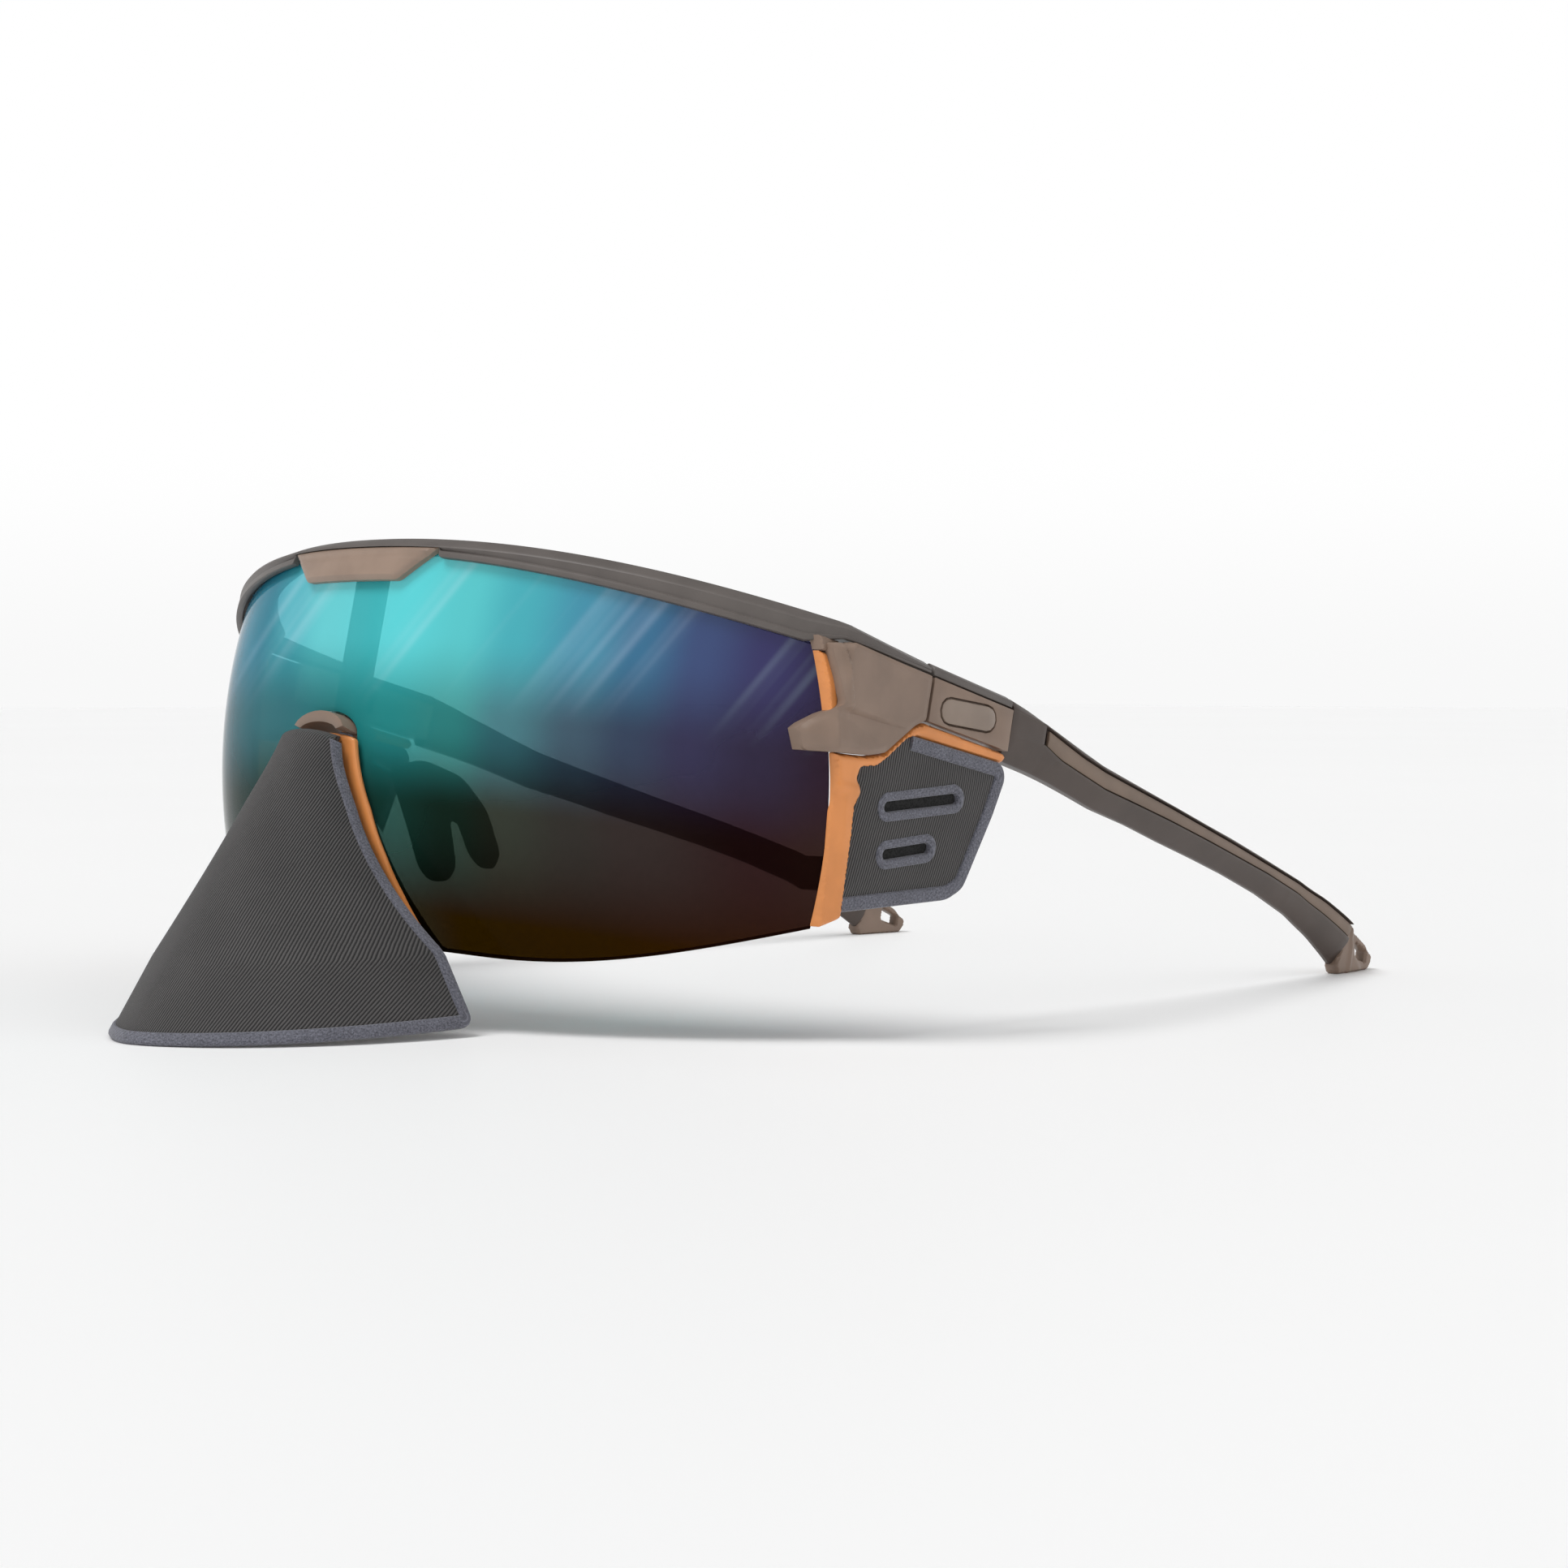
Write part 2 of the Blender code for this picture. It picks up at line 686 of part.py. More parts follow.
# ---------------------------------------------------------------- temples


def block_top(y):
    return lug_top(y)


def block_low(y):
    return LUG_LOW_Z - 0.041 * (y - SPLIT_Y)


def make_temple_front(name, side, parent):
    """The block behind the seam, hollowed for the hinge, with a pocket for its plate."""
    start, end = SPLIT_Y + GAP, SPLIT_Y + FRONT_BLOCK_LENGTH
    outline = [
        (start, block_low(start)),
        (end, block_low(end)),
        (end, block_top(end)),
        (start, block_top(start)),
    ]
    inner = SIDE_X - SIDE_THICK
    block = place_mesh(
        f"temple_front_{name}",
        slab(outline, lambda y, z: inner, lambda y, z: SIDE_X, side),
        "taupe",
        parent,
    )
    hollow_for_hinge(block, name, side, inner - THROUGH, start)
    pocket = badge_slab(side, GAP, SIDE_X - BADGE_THICK, SIDE_X + THROUGH)
    boolean(block, helper(f"badge_pocket_{name}", pocket), "DIFFERENCE")


def hollow_for_hinge(block, name, side, inside, start):
    """Room for the tongue through a quarter turn, and for the pin."""
    clear = KNUCKLE_RADIUS + GAP
    before = start - THROUGH
    slot = [(inside, before), (HINGE_X + clear, before)]
    slot += arc((HINGE_X, HINGE_Y), clear, 0, 90, 6) + [(inside, HINGE_Y + clear)]
    tool = prism(slot, KNUCKLE_LOW - GAP, KNUCKLE_TOP + GAP, side)
    boolean(block, helper(f"hinge_slot_{name}", tool), "DIFFERENCE")
    radius = HINGE_Y - start
    corner = arc((HINGE_X, HINGE_Y), radius, 180, 270, 6)
    corner = [(inside, corner[0][1])] + corner + [(corner[-1][0], before)]
    corner += [(inside, before)]
    tool = prism(corner, KNUCKLE_LOW - THROUGH, KNUCKLE_TOP + THROUGH, side)
    boolean(block, helper(f"hinge_corner_{name}", tool), "DIFFERENCE")
    boolean(block, helper(f"block_bore_{name}", hinge_bore(side)), "DIFFERENCE")


def badge_slab(side, grow, x_in, x_out):
    """The plain plate on the temple: a slanted oblong with rounded ends."""
    start, end = back_from(SPLIT_Y, (4.2, -11.9), (11.8, -11.3))
    outline = stadium(start, end, BADGE_RADIUS + grow)
    return slab(outline, lambda y, z: x_in, lambda y, z: x_out, side)


def stadium(start, end, radius, steps=6):
    """An oblong with round ends between two centres, as (y, z) points."""
    heading = math.degrees(math.atan2(end[1] - start[1], end[0] - start[0]))
    points = arc(end, radius, heading - 90, heading + 90, steps)
    return points + arc(start, radius, heading + 90, heading + 270, steps)


def make_temple_badge(name, side, parent):
    floor = SIDE_X - BADGE_THICK + GAP
    badge = badge_slab(side, 0.0, floor, SIDE_X + BADGE_PROUD)
    place_mesh(f"temple_badge_{name}", badge, "taupe", parent)


def make_temple_strip(name, side, parent):
    """The dark strip on top of the front block, in line with the brow bar's end."""
    start, end = SPLIT_Y + GAP, SPLIT_Y + FRONT_BLOCK_LENGTH
    rings = []
    inner, outer = SIDE_X - SIDE_THICK + 0.2 * MM, SIDE_X - BAR_END_INSET
    for y in (start, end):
        low = block_top(y) + GAP
        top = lerp(-6.0 * MM, -7.1 * MM, (y - start) / (end - start))
        inset = max(0.0, HINGE_Y - y)
        near = inner + inset * 0.9
        rings.append(
            (
                (side * near, y, low),
                (side * near, y, top - 0.4 * MM),
                (side * (outer - 1.4 * MM), y, top),
                (side * outer, y, top - 0.7 * MM),
                (side * outer, y, low),
            )
        )
    place_mesh(f"temple_strip_{name}", loft(rings), "bar", parent)


# Height of the arm's upper edge, upper groove edge, lower groove edge and lower edge,
# at shares of its length
ARM_HEIGHTS = (
    (0.0, (-7.2 * MM, -9.6 * MM, -12.2 * MM, -15.9 * MM)),
    (0.07, (-8.5 * MM, -9.8 * MM, -12.2 * MM, -16.3 * MM)),
    (0.10, (-8.8 * MM, -9.9 * MM, -12.5 * MM, -16.5 * MM)),
    (0.24, (-10.8 * MM, -11.6 * MM, -14.3 * MM, -18.4 * MM)),
    (0.42, (-12.3 * MM, -13.0 * MM, -15.6 * MM, -19.5 * MM)),
    (0.62, (-14.7 * MM, -15.2 * MM, -17.0 * MM, -20.6 * MM)),
    (0.80, (-17.2 * MM, -17.6 * MM, -19.0 * MM, -23.0 * MM)),
    (0.92, (-19.8 * MM, -20.3 * MM, -21.8 * MM, -26.4 * MM)),
    (1.0, (-22.4 * MM, -23.6 * MM, -25.2 * MM, -30.2 * MM)),
)

def arm_x(y):
    """Outer face of the arm, which toes in towards the head."""
    share = (y - ARM_START) / (ARM_END - ARM_START)
    return SIDE_X - 0.2 * MM - ARM_TOE_IN * max(0.0, share) ** 1.3


def arm_station(share):
    """(y, outer x, thickness, heights) of the arm at a share of its length."""
    y = lerp(ARM_START, ARM_END, share)
    thick = lerp(ARM_FRONT_THICK, ARM_REAR_THICK, min(1.0, share * 3))
    return y, arm_x(y), thick, along(ARM_HEIGHTS, share)


def make_temple_arm(name, side, parent):
    rings = []
    for share in ARM_SHARES:
        y, x, thick, (top, groove_top, groove_low, low) = arm_station(share)
        depth = GROOVE_DEPTH if share > GROOVE_SHARE else 0.15 * MM
        soft = 0.22 * thick
        section = (
            (x - thick + soft, top),
            (x - 1.1 * MM, top),
            (x, groove_top),
            (x - depth, groove_top),
            (x - depth, groove_low),
            (x, groove_low),
            (x - 1.0 * MM, low),
            (x - thick + soft, low),
            (x - thick, lerp(low, top, 0.25)),
            (x - thick, lerp(low, top, 0.75)),
        )
        rings.append([(side * across, y, z) for across, z in section])
    place_mesh(f"temple_arm_{name}", loft(rings), "bar", parent)


def make_arm_inlay(name, side, parent):
    """The lighter strip that lies in the arm's groove."""
    rings = []
    for share in ARM_SHARES[3:]:
        y, x, _, (_, groove_top, groove_low, _) = arm_station(share)
        floor = x - GROOVE_DEPTH + GAP
        face = floor + INLAY_THICK
        high, low = groove_top - INLAY_MARGIN, groove_low + INLAY_MARGIN
        section = ((floor, high), (face, high), (face, low), (floor, low))
        rings.append([(side * across, y, z) for across, z in section])
    place_mesh(f"arm_inlay_{name}", loft(rings), "taupe", parent)


def tip_outer(y, z):
    return arm_x(ARM_END) - 0.3 * MM - 0.1 * (y - TIP_START)


def make_temple_tip(name, side, parent):
    """The end cap, with a window for a retaining cord."""
    a, b = TIP_START, TIP_END
    outline = [
        (a, -30.2 * MM),
        (a, -22.7 * MM),
        (a + 2.8 * MM, -23.4 * MM),
        (b, -26.9 * MM),
        (b - 0.5 * MM, floor_z(b - 0.5 * MM)),
        (a + 1.6 * MM, floor_z(a + 1.6 * MM)),
    ]
    tip = place_mesh(
        f"temple_tip_{name}",
        slab(outline, lambda y, z: tip_outer(y, z) - ARM_REAR_THICK, tip_outer, side),
        "taupe",
        parent,
    )
    window = [
        (a + 3.8 * MM, -25.3 * MM),
        (b - 2.6 * MM, -27.1 * MM),
        (b - 2.9 * MM, -28.4 * MM),
        (a + 3.8 * MM, -27.6 * MM),
    ]
    cutter = through_side(window, side)
    boolean(tip, helper(f"cord_window_{name}", cutter), "DIFFERENCE")


# ---------------------------------------------------------------- side shields


def shield_x(z):
    """Inner face of the side shield, which leans in with the lens's side."""
    return SHIELD_X + SHIELD_LEAN * min(0.0, z - SHIELD_BEND_Z)


def shield_slab(outline, near, far, side):
    """A slab of the side shield between two depths from its inner face."""
    return slab(
        outline,
        lambda y, z: shield_x(z) + near,
        lambda y, z: shield_x(z) + far,
        side,
        bends=(("z", SHIELD_BEND_Z),),
    )


def through_side(outline, side):
    """A cutter of this outline that passes through everything on one side."""
    return slab(
        outline, lambda y, z: SIDE_X / 2, lambda y, z: SIDE_X + THROUGH, side
    )


# The free edge of the shield's panel: along the top, down the rear and back below
PANEL_EDGE = back_from(
    LENS_EDGE_Y,
    (14.7, -17.1), (34.6, -17.1), (35.4, -20.4), (29.7, -34.3), (26.6, -36.9), (7.3, -42.2),
)  # fmt: skip
UPPER_SLOT = back_from(LENS_EDGE_Y, (13.4, -26.7), (25.7, -22.4))
LOWER_SLOT = back_from(LENS_EDGE_Y, (13.7, -33.0), (21.1, -30.5))


def inset(points, width):
    """The chain of (y, z) points moved to its right-hand side by width."""
    moved = []
    for k, (y, z) in enumerate(points):
        before = Vector(points[k]) - Vector(points[k - 1]) if k else None
        after = Vector(points[k + 1]) - Vector(points[k]) if k + 1 < len(points) else None
        runs = [run.normalized() for run in (before, after) if run is not None]
        normals = [Vector((run.y, -run.x)) for run in runs]
        bisector = sum(normals, Vector((0, 0))).normalized()
        reach = width / bisector.dot(normals[0])
        moved.append((y + bisector.x * reach, z + bisector.y * reach))
    return moved


def make_side_frame(name, side):
    """A leg along the lens's side edge, and a rail under end piece and temple."""
    steps = 6
    heights = [lerp(LEG_LOW_Z, LEG_TOP_Z, k / steps) for k in range(steps + 1)]
    front = [(lens_edge_y(z) + 0.1 * MM, z) for z in heights]
    rail_end = LENS_EDGE_Y + LUG_LENGTH + FRONT_BLOCK_LENGTH
    outline = front + back_from(
        LENS_EDGE_Y, (5.0, -21.5), (8.3, -20.4), (13.3, -15.5), (15.2, -15.2)
    )
    outline += back_from(rail_end, (-0.6, -15.5), (-0.1, -16.1), (-0.6, -16.7))
    outline += back_from(
        LENS_EDGE_Y,
        (14.4, -16.6), (9.4, -21.7), (6.2, -23.2), (5.8, -25.2), (6.8, -25.8),
        (5.8, -28.0), (6.3, -42.9),
    )  # fmt: skip

    def inner(y, z):
        beside_lens = y < lens_edge_y(z) + 0.2 * MM
        return lens_side(z) + GAP if beside_lens else shield_x(z)

    frame = slab(
        outline,
        inner,
        lambda y, z: shield_x(z) + FRAME_THICK,
        side,
        bends=(("z", SHIELD_BEND_Z),),
    )
    place_mesh(f"side_frame_{name}", frame, "orange", SHIELD_AXES[name])


def make_side_fabric(name, side):
    edge = inset(PANEL_EDGE, BINDING_WIDTH + GAP)
    front = back_from(LENS_EDGE_Y, (6.7, -28.4), (7.7, -26.0), (9.8, -22.1), (13.0, -18.7))
    (y1, z1), (y2, z2) = edge[-2:]
    corner_y = front[0][0]
    corner = (corner_y, lerp(z1, z2, (corner_y - y1) / (y2 - y1)))
    outline = edge[:-1] + [corner] + front
    middle = BINDING_THICK / 2
    half = FABRIC_THICK / 2
    fabric = place_mesh(
        f"side_fabric_{name}",
        shield_slab(outline, middle - half, middle + half, side),
        "fabric",
        SHIELD_AXES[name],
    )
    for slot_name, slot in (("upper", UPPER_SLOT), ("lower", LOWER_SLOT)):
        hole = stadium(slot[0], slot[1], SLOT_HALF + RING_WIDTH + GAP)
        cutter = through_side(hole, side)
        tool = helper(f"slot_hole_{slot_name}_{name}", cutter)
        boolean(fabric, tool, "DIFFERENCE", "MANIFOLD")  # EXACT fails across the fold


def make_side_binding(name, side):
    outline = PANEL_EDGE + inset(PANEL_EDGE, BINDING_WIDTH)[::-1]
    binding = shield_slab(outline, 0, BINDING_THICK, side)
    place_mesh(f"side_binding_{name}", binding, "binding", SHIELD_AXES[name])


def make_slot_ring(name, side, slot_name, slot):
    """The oval patch round a slot."""
    outer = stadium(slot[0], slot[1], SLOT_HALF + RING_WIDTH)
    ring = place_mesh(
        f"slot_ring_{slot_name}_{name}",
        shield_slab(outer, 0.1 * MM, BINDING_THICK - 0.1 * MM, side),
        "binding",
        SHIELD_AXES[name],
    )
    cutter = through_side(stadium(slot[0], slot[1], SLOT_HALF), side)
    boolean(ring, helper(f"slot_{slot_name}_{name}", cutter), "DIFFERENCE")


# ---------------------------------------------------------------- nose shield


def nose_rear_edge(t):
    """Rear edge of the nose shield, a share t of the way from its top to the table."""
    if t <= NOSE_CORNER:
        z = lerp(NOSE_TOP_Z - 0.8 * MM, LENS_LOW_Z + 0.6 * MM, t / NOSE_CORNER)
        x = notch_half(z) - 0.4 * MM
        return Vector((x, lens_y(x, z, NOSE_STAND_OFF), z))
    corner = nose_rear_edge(NOSE_CORNER)
    share = (t - NOSE_CORNER) / (1 - NOSE_CORNER)
    foot_z = floor_z(NOSE_REAR_Y) + NOSE_REAR_LIFT
    foot = Vector((NOSE_LOW_HALF, NOSE_REAR_Y, foot_z))
    return corner.lerp(foot, share)


def nose_point(t, q):
    """The shield's middle surface: t runs down, q across from -1 to 1."""
    rear = nose_rear_edge(t)
    front_y = lerp(NOSE_TOP_Y, NOSE_FRONT_Y, t)
    front_z = lerp(NOSE_TOP_Z, floor_z(NOSE_FRONT_Y), t)
    angle = abs(q) * math.pi / 2
    blunt = lerp(1.0, 1.2, t)
    x = rear.x * math.sin(angle) ** blunt
    back = 1 - math.cos(angle)
    y = lerp(front_y, rear.y, back)
    z = lerp(front_z, rear.z, back)
    return (math.copysign(x, q), y, z)


def nose_step_down(q):
    """Share of the height that is one binding width, at q."""
    run = Vector(nose_point(1.0, q)) - Vector(nose_point(0.9, q))
    return 0.1 * NOSE_BINDING_WIDTH / run.length


def nose_step_across(t):
    """Share of the half-width that is one binding width, at t, beside the rear edge."""
    run = Vector(nose_point(t, 1.0)) - Vector(nose_point(t, 0.9))
    return 0.1 * NOSE_BINDING_WIDTH / run.length


def make_nose_fabric():
    columns, rows = 21, 11
    extra = 1 + GAP / NOSE_BINDING_WIDTH

    def place(i, j):
        q = lerp(-1, 1, i / (columns - 1))
        t = (j / (rows - 1)) * (1 - extra * nose_step_down(q))
        return nose_point(t, q * (1 - extra * nose_step_across(t)))

    surface = sheet(columns, rows, place, (0, -1, 0))
    fabric = place_mesh("nose_fabric", surface, "fabric", SHIELD_AXES["nose"])
    thicken(fabric, FABRIC_THICK, 0)


def make_nose_binding():
    """One band: down the rear edge, along the table and up the other side."""
    down, across = 9, 24
    foot = 1.015  # a little past the table, where it is cut flat
    inner_t = 1 - nose_step_down(1.0)
    rear = [lerp(0.0, inner_t, k / (down - 1)) for k in range(down)]
    outer = [(t, 1.0) for t in rear] + [(foot, 1.0)]
    inner = [(t, 1 - nose_step_across(t)) for t in rear]
    inner.append(inner[-1])
    side_q = inner[-1][1]
    for k in range(across + 1):
        q = lerp(side_q, -side_q, k / across)
        outer.append((foot, q))
        inner.append((1 - nose_step_down(abs(q)) if abs(q) < side_q else inner_t, q))
    outer += [(foot, -1.0)] + [(t, -1.0) for t in reversed(rear)]
    inner += [inner[-1]] + [(t, nose_step_across(t) - 1) for t in reversed(rear)]

    def place(i, j):
        return nose_point(*(outer, inner)[j][i])

    band = sheet(len(outer), 2, place, (0, -1, 0))
    bmesh.ops.remove_doubles(band, verts=band.verts, dist=0.01 * MM)
    binding = place_mesh("nose_binding", band, "binding", SHIELD_AXES["nose"])
    thicken(binding, BINDING_THICK, 0)
    reach = 60 * MM
    under = [(y, floor_z(y)) for y in (-reach, reach)]
    under += [(reach, -2 * reach), (-reach, -2 * reach)]
    table = slab(under, lambda y, z: -reach, lambda y, z: reach)
    boolean(binding, helper("table", table), "DIFFERENCE")


def make_nose_frame():
    """The orange band in front of the lens that follows the notch and joins at its top."""
    steps = 14
    lowest, highest = LENS_LOW_Z + 1.5 * MM, NOSE_TOP_Z - 1.0 * MM
    crown = NOSE_TOP_Z - 0.4 * MM
    heights = [lerp(lowest, highest, k / steps) for k in range(steps + 1)]
    outer_edge = [(notch_half(z) + NOSE_FRAME_OUTSIDE, z) for z in heights]
    inner_edge = [(x - NOSE_FRAME_WIDTH, z) for x, z in outer_edge]
    outer_edge.append((outer_edge[-1][0] * 0.5, crown))
    inner_edge.append((inner_edge[-1][0] * 0.45, crown - NOSE_FRAME_WIDTH))
    outer_edge += [(-x, z) for x, z in reversed(outer_edge)]
    inner_edge += [(-x, z) for x, z in reversed(inner_edge)]

    def place(i, j):
        x, z = (outer_edge, inner_edge)[j][i]
        return (x, lens_y(x, z, CURVE_GAP), z)

    band = sheet(len(outer_edge), 2, place, (0, -1, 0))
    frame = place_mesh("nose_frame", band, "orange", SHIELD_AXES["nose"])
    thicken(frame, NOSE_FRAME_THICK, 1)


# ---------------------------------------------------------------- assembly


def make_side(name, side):
    make_end_piece(name, side)
    make_hinge_pin(name, side)
    make_lens_clip(name, side)
    hinge = new_empty(f"temple_axis_{name}", (side * HINGE_X, HINGE_Y, 0), STANCE)
    make_temple_front(name, side, hinge)
    make_temple_strip(name, side, hinge)
    make_temple_badge(name, side, hinge)
    make_temple_arm(name, side, hinge)
    make_arm_inlay(name, side, hinge)
    make_temple_tip(name, side, hinge)
    root = (side * CORE_X, BRIDGE_REAR_Y, CORE_Z)
    make_nose_pad(name, side, new_empty(f"pad_axis_{name}", root, STANCE))
    make_side_frame(name, side)
    make_side_fabric(name, side)
    make_side_binding(name, side)
    make_slot_ring(name, side, "upper", UPPER_SLOT)
    make_slot_ring(name, side, "lower", LOWER_SLOT)


def centre_on_floor():
    """Moves the stance so that the object's box stands centred on the origin."""
    bpy.context.view_layer.update()
    graph = bpy.context.evaluated_depsgraph_get()
    corners = []
    for obj in PARTS.objects:
        if obj.type == "MESH":
            seen = obj.evaluated_get(graph)
            corners += [seen.matrix_world @ vert.co for vert in seen.data.vertices]
    depth = [point.y for point in corners]
    STANCE.location.y -= (min(depth) + max(depth)) / 2
    STANCE.location.z -= min(point.z for point in corners)


clear_scene()
PARTS = new_collection("glacier_glasses")
CUTTERS = new_collection("cutters")
STANCE = new_empty("stance")
STANCE.rotation_euler.x = -PITCH
SHIELD_AXES = {
    "nose": new_empty("nose_shield_clip", (0, 0, NOSE_TOP_Z), STANCE),
}
for side_name, side_sign in SIDES:
    clip_place = (side_sign * SHIELD_X, SPLIT_Y, LUG_LOW_Z)
    SHIELD_AXES[side_name] = new_empty(f"side_shield_clip_{side_name}", clip_place, STANCE)
make_brow_bar()
make_brow_insert()
make_lens()
make_nose_bridge()
make_nose_frame()
make_nose_fabric()
make_nose_binding()
for side_name, side_sign in SIDES:
    make_side(side_name, side_sign)
centre_on_floor()
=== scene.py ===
"""Glacier glasses: the looks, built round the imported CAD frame.

Shapes are worked out in the wearing frame of the CAD part (+X to the wearer's left, +Y back,
+Z up, origin at the front of the brow bar's middle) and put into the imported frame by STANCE,
which comes from the record's left temple hinge. Lengths are in metres.
"""

import json
import math

import bmesh
import bpy
import numpy as np
from mathutils import Matrix, Vector
from mathutils.geometry import delaunay_2d_cdt

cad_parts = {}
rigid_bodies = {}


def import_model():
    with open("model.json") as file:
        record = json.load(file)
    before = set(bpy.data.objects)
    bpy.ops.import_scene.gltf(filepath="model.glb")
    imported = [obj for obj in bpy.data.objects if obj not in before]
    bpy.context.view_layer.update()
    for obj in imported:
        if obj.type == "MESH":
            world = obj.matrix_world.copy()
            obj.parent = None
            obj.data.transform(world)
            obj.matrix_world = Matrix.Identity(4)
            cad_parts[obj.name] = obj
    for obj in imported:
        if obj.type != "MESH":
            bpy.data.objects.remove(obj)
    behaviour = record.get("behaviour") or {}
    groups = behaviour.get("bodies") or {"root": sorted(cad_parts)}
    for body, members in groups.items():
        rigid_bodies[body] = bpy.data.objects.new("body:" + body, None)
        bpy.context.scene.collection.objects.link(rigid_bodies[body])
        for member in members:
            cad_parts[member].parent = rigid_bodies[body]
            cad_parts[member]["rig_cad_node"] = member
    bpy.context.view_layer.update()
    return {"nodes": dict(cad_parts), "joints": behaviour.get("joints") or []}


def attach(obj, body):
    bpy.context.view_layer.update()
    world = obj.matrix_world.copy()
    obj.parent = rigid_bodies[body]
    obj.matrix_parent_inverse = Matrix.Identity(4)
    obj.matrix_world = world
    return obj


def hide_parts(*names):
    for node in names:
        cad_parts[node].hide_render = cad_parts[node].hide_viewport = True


MM = 0.001
GAP = 0.3 * MM
CURVE_GAP = 0.4 * MM

# As in the CAD part, but for the shields' bindings, slots and rings, which are narrower, after the photo
LENS_RADIUS = 86.0 * MM
LENS_MID_Z = -15.0 * MM
LENS_THICK = 1.6 * MM
LENS_HALF = 67.0 * MM
LENS_WIDEST_Z = -26.0 * MM
EDGE_Y = LENS_RADIUS - math.sqrt(
    LENS_RADIUS**2 - LENS_HALF**2 - (LENS_WIDEST_Z - LENS_MID_Z) ** 2
)
NOTCH_HALF = 6.2 * MM
NOTCH_TOP = -23.6 * MM
NOTCH_SPRING = -26.8 * MM
NOTCH_FLARE = 54.8 * MM
LENS_LOW_Z = -54.7 * MM
SIDE_X = LENS_HALF + 1.4 * MM
SPLIT_Y = EDGE_Y + 15.2 * MM
HINGE = Vector((SIDE_X - 3.0 * MM, SPLIT_Y + 2.6 * MM, -11.0 * MM))
BLOCK_LENGTH = 17.0 * MM
ARM_START = SPLIT_Y + BLOCK_LENGTH + GAP
TIP_END = HINGE.y + 126.0 * MM
TIP_START = TIP_END - 11.6 * MM
ARM_END = TIP_START - GAP
NOSE_TOP = (-4.7 * MM, -28.0 * MM)
NOSE_FRONT = (-22.7 * MM, -73.9 * MM)
FLOOR_SLOPE = (-29.1 * MM - NOSE_FRONT[1]) / (TIP_END - NOSE_FRONT[0])
NOSE_FOOT = (25.5 * MM, 14.5 * MM)
NOSE_CORNER = 0.75
NOSE_BINDING = 1.85 * MM
SIDE_BINDING = 1.6 * MM
BINDING_THICK = 1.5 * MM
FABRIC_THICK = 0.8 * MM
SHIELD_X = SIDE_X - 1.4 * MM
SHIELD_BEND_Z = -24.0 * MM
SHIELD_LEAN = 0.082
SLOT_HALF = 0.7 * MM
RING_WIDTH = 1.35 * MM

# Direction across the diagonal reflection streaks painted into the lens's colour, in the imported frame
REFLECTION_STREAKS_ACROSS = (0.536, 0.547, -0.643)

SIDES = (("left", 1), ("right", -1))
SHARP = math.radians(32)

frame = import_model()


# ---- frames and meshes


def stance():
    """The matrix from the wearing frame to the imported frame."""
    joints = {joint["name"]: joint for joint in frame["joints"]}
    hinge = joints["temple_hinge_left"]
    pitch = math.atan2(hinge["axis"][1], hinge["axis"][2])
    turn = Matrix.Rotation(-pitch, 4, "X")
    turn.translation = Vector(hinge["pos_m"]) - turn.to_3x3() @ HINGE
    return turn


STANCE = stance()


def node(tree, kind, inputs=None, **settings):
    """A node of a tree, whose inputs are values or other nodes' outputs."""
    made = tree.nodes.new(kind)
    for key, value in settings.items():
        setattr(made, key, value)
    for key, value in (inputs or {}).items():
        if isinstance(value, bpy.types.NodeSocket):
            tree.links.new(value, made.inputs[key])
        else:
            made.inputs[key].default_value = value
    return made


def smooth_group():
    """Geometry nodes that shade smooth, and keep edges sharper than SHARP crisp."""
    group = bpy.data.node_groups.new("smooth_by_angle", "GeometryNodeTree")
    for way in ("INPUT", "OUTPUT"):
        group.interface.new_socket("Geometry", in_out=way, socket_type="NodeSocketGeometry")
    source = node(group, "NodeGroupInput")
    angle = node(group, "GeometryNodeInputMeshEdgeAngle")
    sharp = {0: angle.outputs[0], 1: SHARP}
    sharp = node(group, "FunctionNodeCompare", sharp, operation="GREATER_THAN")
    faces = node(group, "GeometryNodeSetShadeSmooth", {"Geometry": source.outputs[0]})
    edges = {"Geometry": faces.outputs[0], "Selection": sharp.outputs[0], "Shade Smooth": False}
    edges = node(group, "GeometryNodeSetShadeSmooth", edges, domain="EDGE")
    node(group, "NodeGroupOutput", {0: edges.outputs[0]})
    return group


SMOOTH = smooth_group()


def soften(obj, width):
    """Rounds an object's sharp edges and shades the rest smooth."""
    if "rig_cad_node" in obj:
        obj.modifiers.new("Weld", "WELD").merge_threshold = 0.01 * MM
    if width:
        bevel = obj.modifiers.new("Rounded edges", "BEVEL")
        bevel.width = width
        bevel.segments = 2
        bevel.limit_method = "ANGLE"
        bevel.angle_limit = SHARP
        bevel.use_clamp_overlap = True
    obj.modifiers.new("Smooth", "NODES").node_group = SMOOTH


def place_in_scene(name, data):
    obj = bpy.data.objects.new(name, data)
    bpy.context.scene.collection.objects.link(obj)
    return obj


def add_object(name, points, faces, maps):
    """An object of points in the wearing frame. maps are the points' places in the UV map."""
    mesh = bpy.data.meshes.new(name)
    mesh.from_pydata([STANCE @ Vector(point) for point in points], [], faces)
    layer = mesh.uv_layers.new(name="UVMap")
    for loop in mesh.loops:
        layer.data[loop.index].uv = maps[loop.vertex_index]
    return place_in_scene(name, mesh)


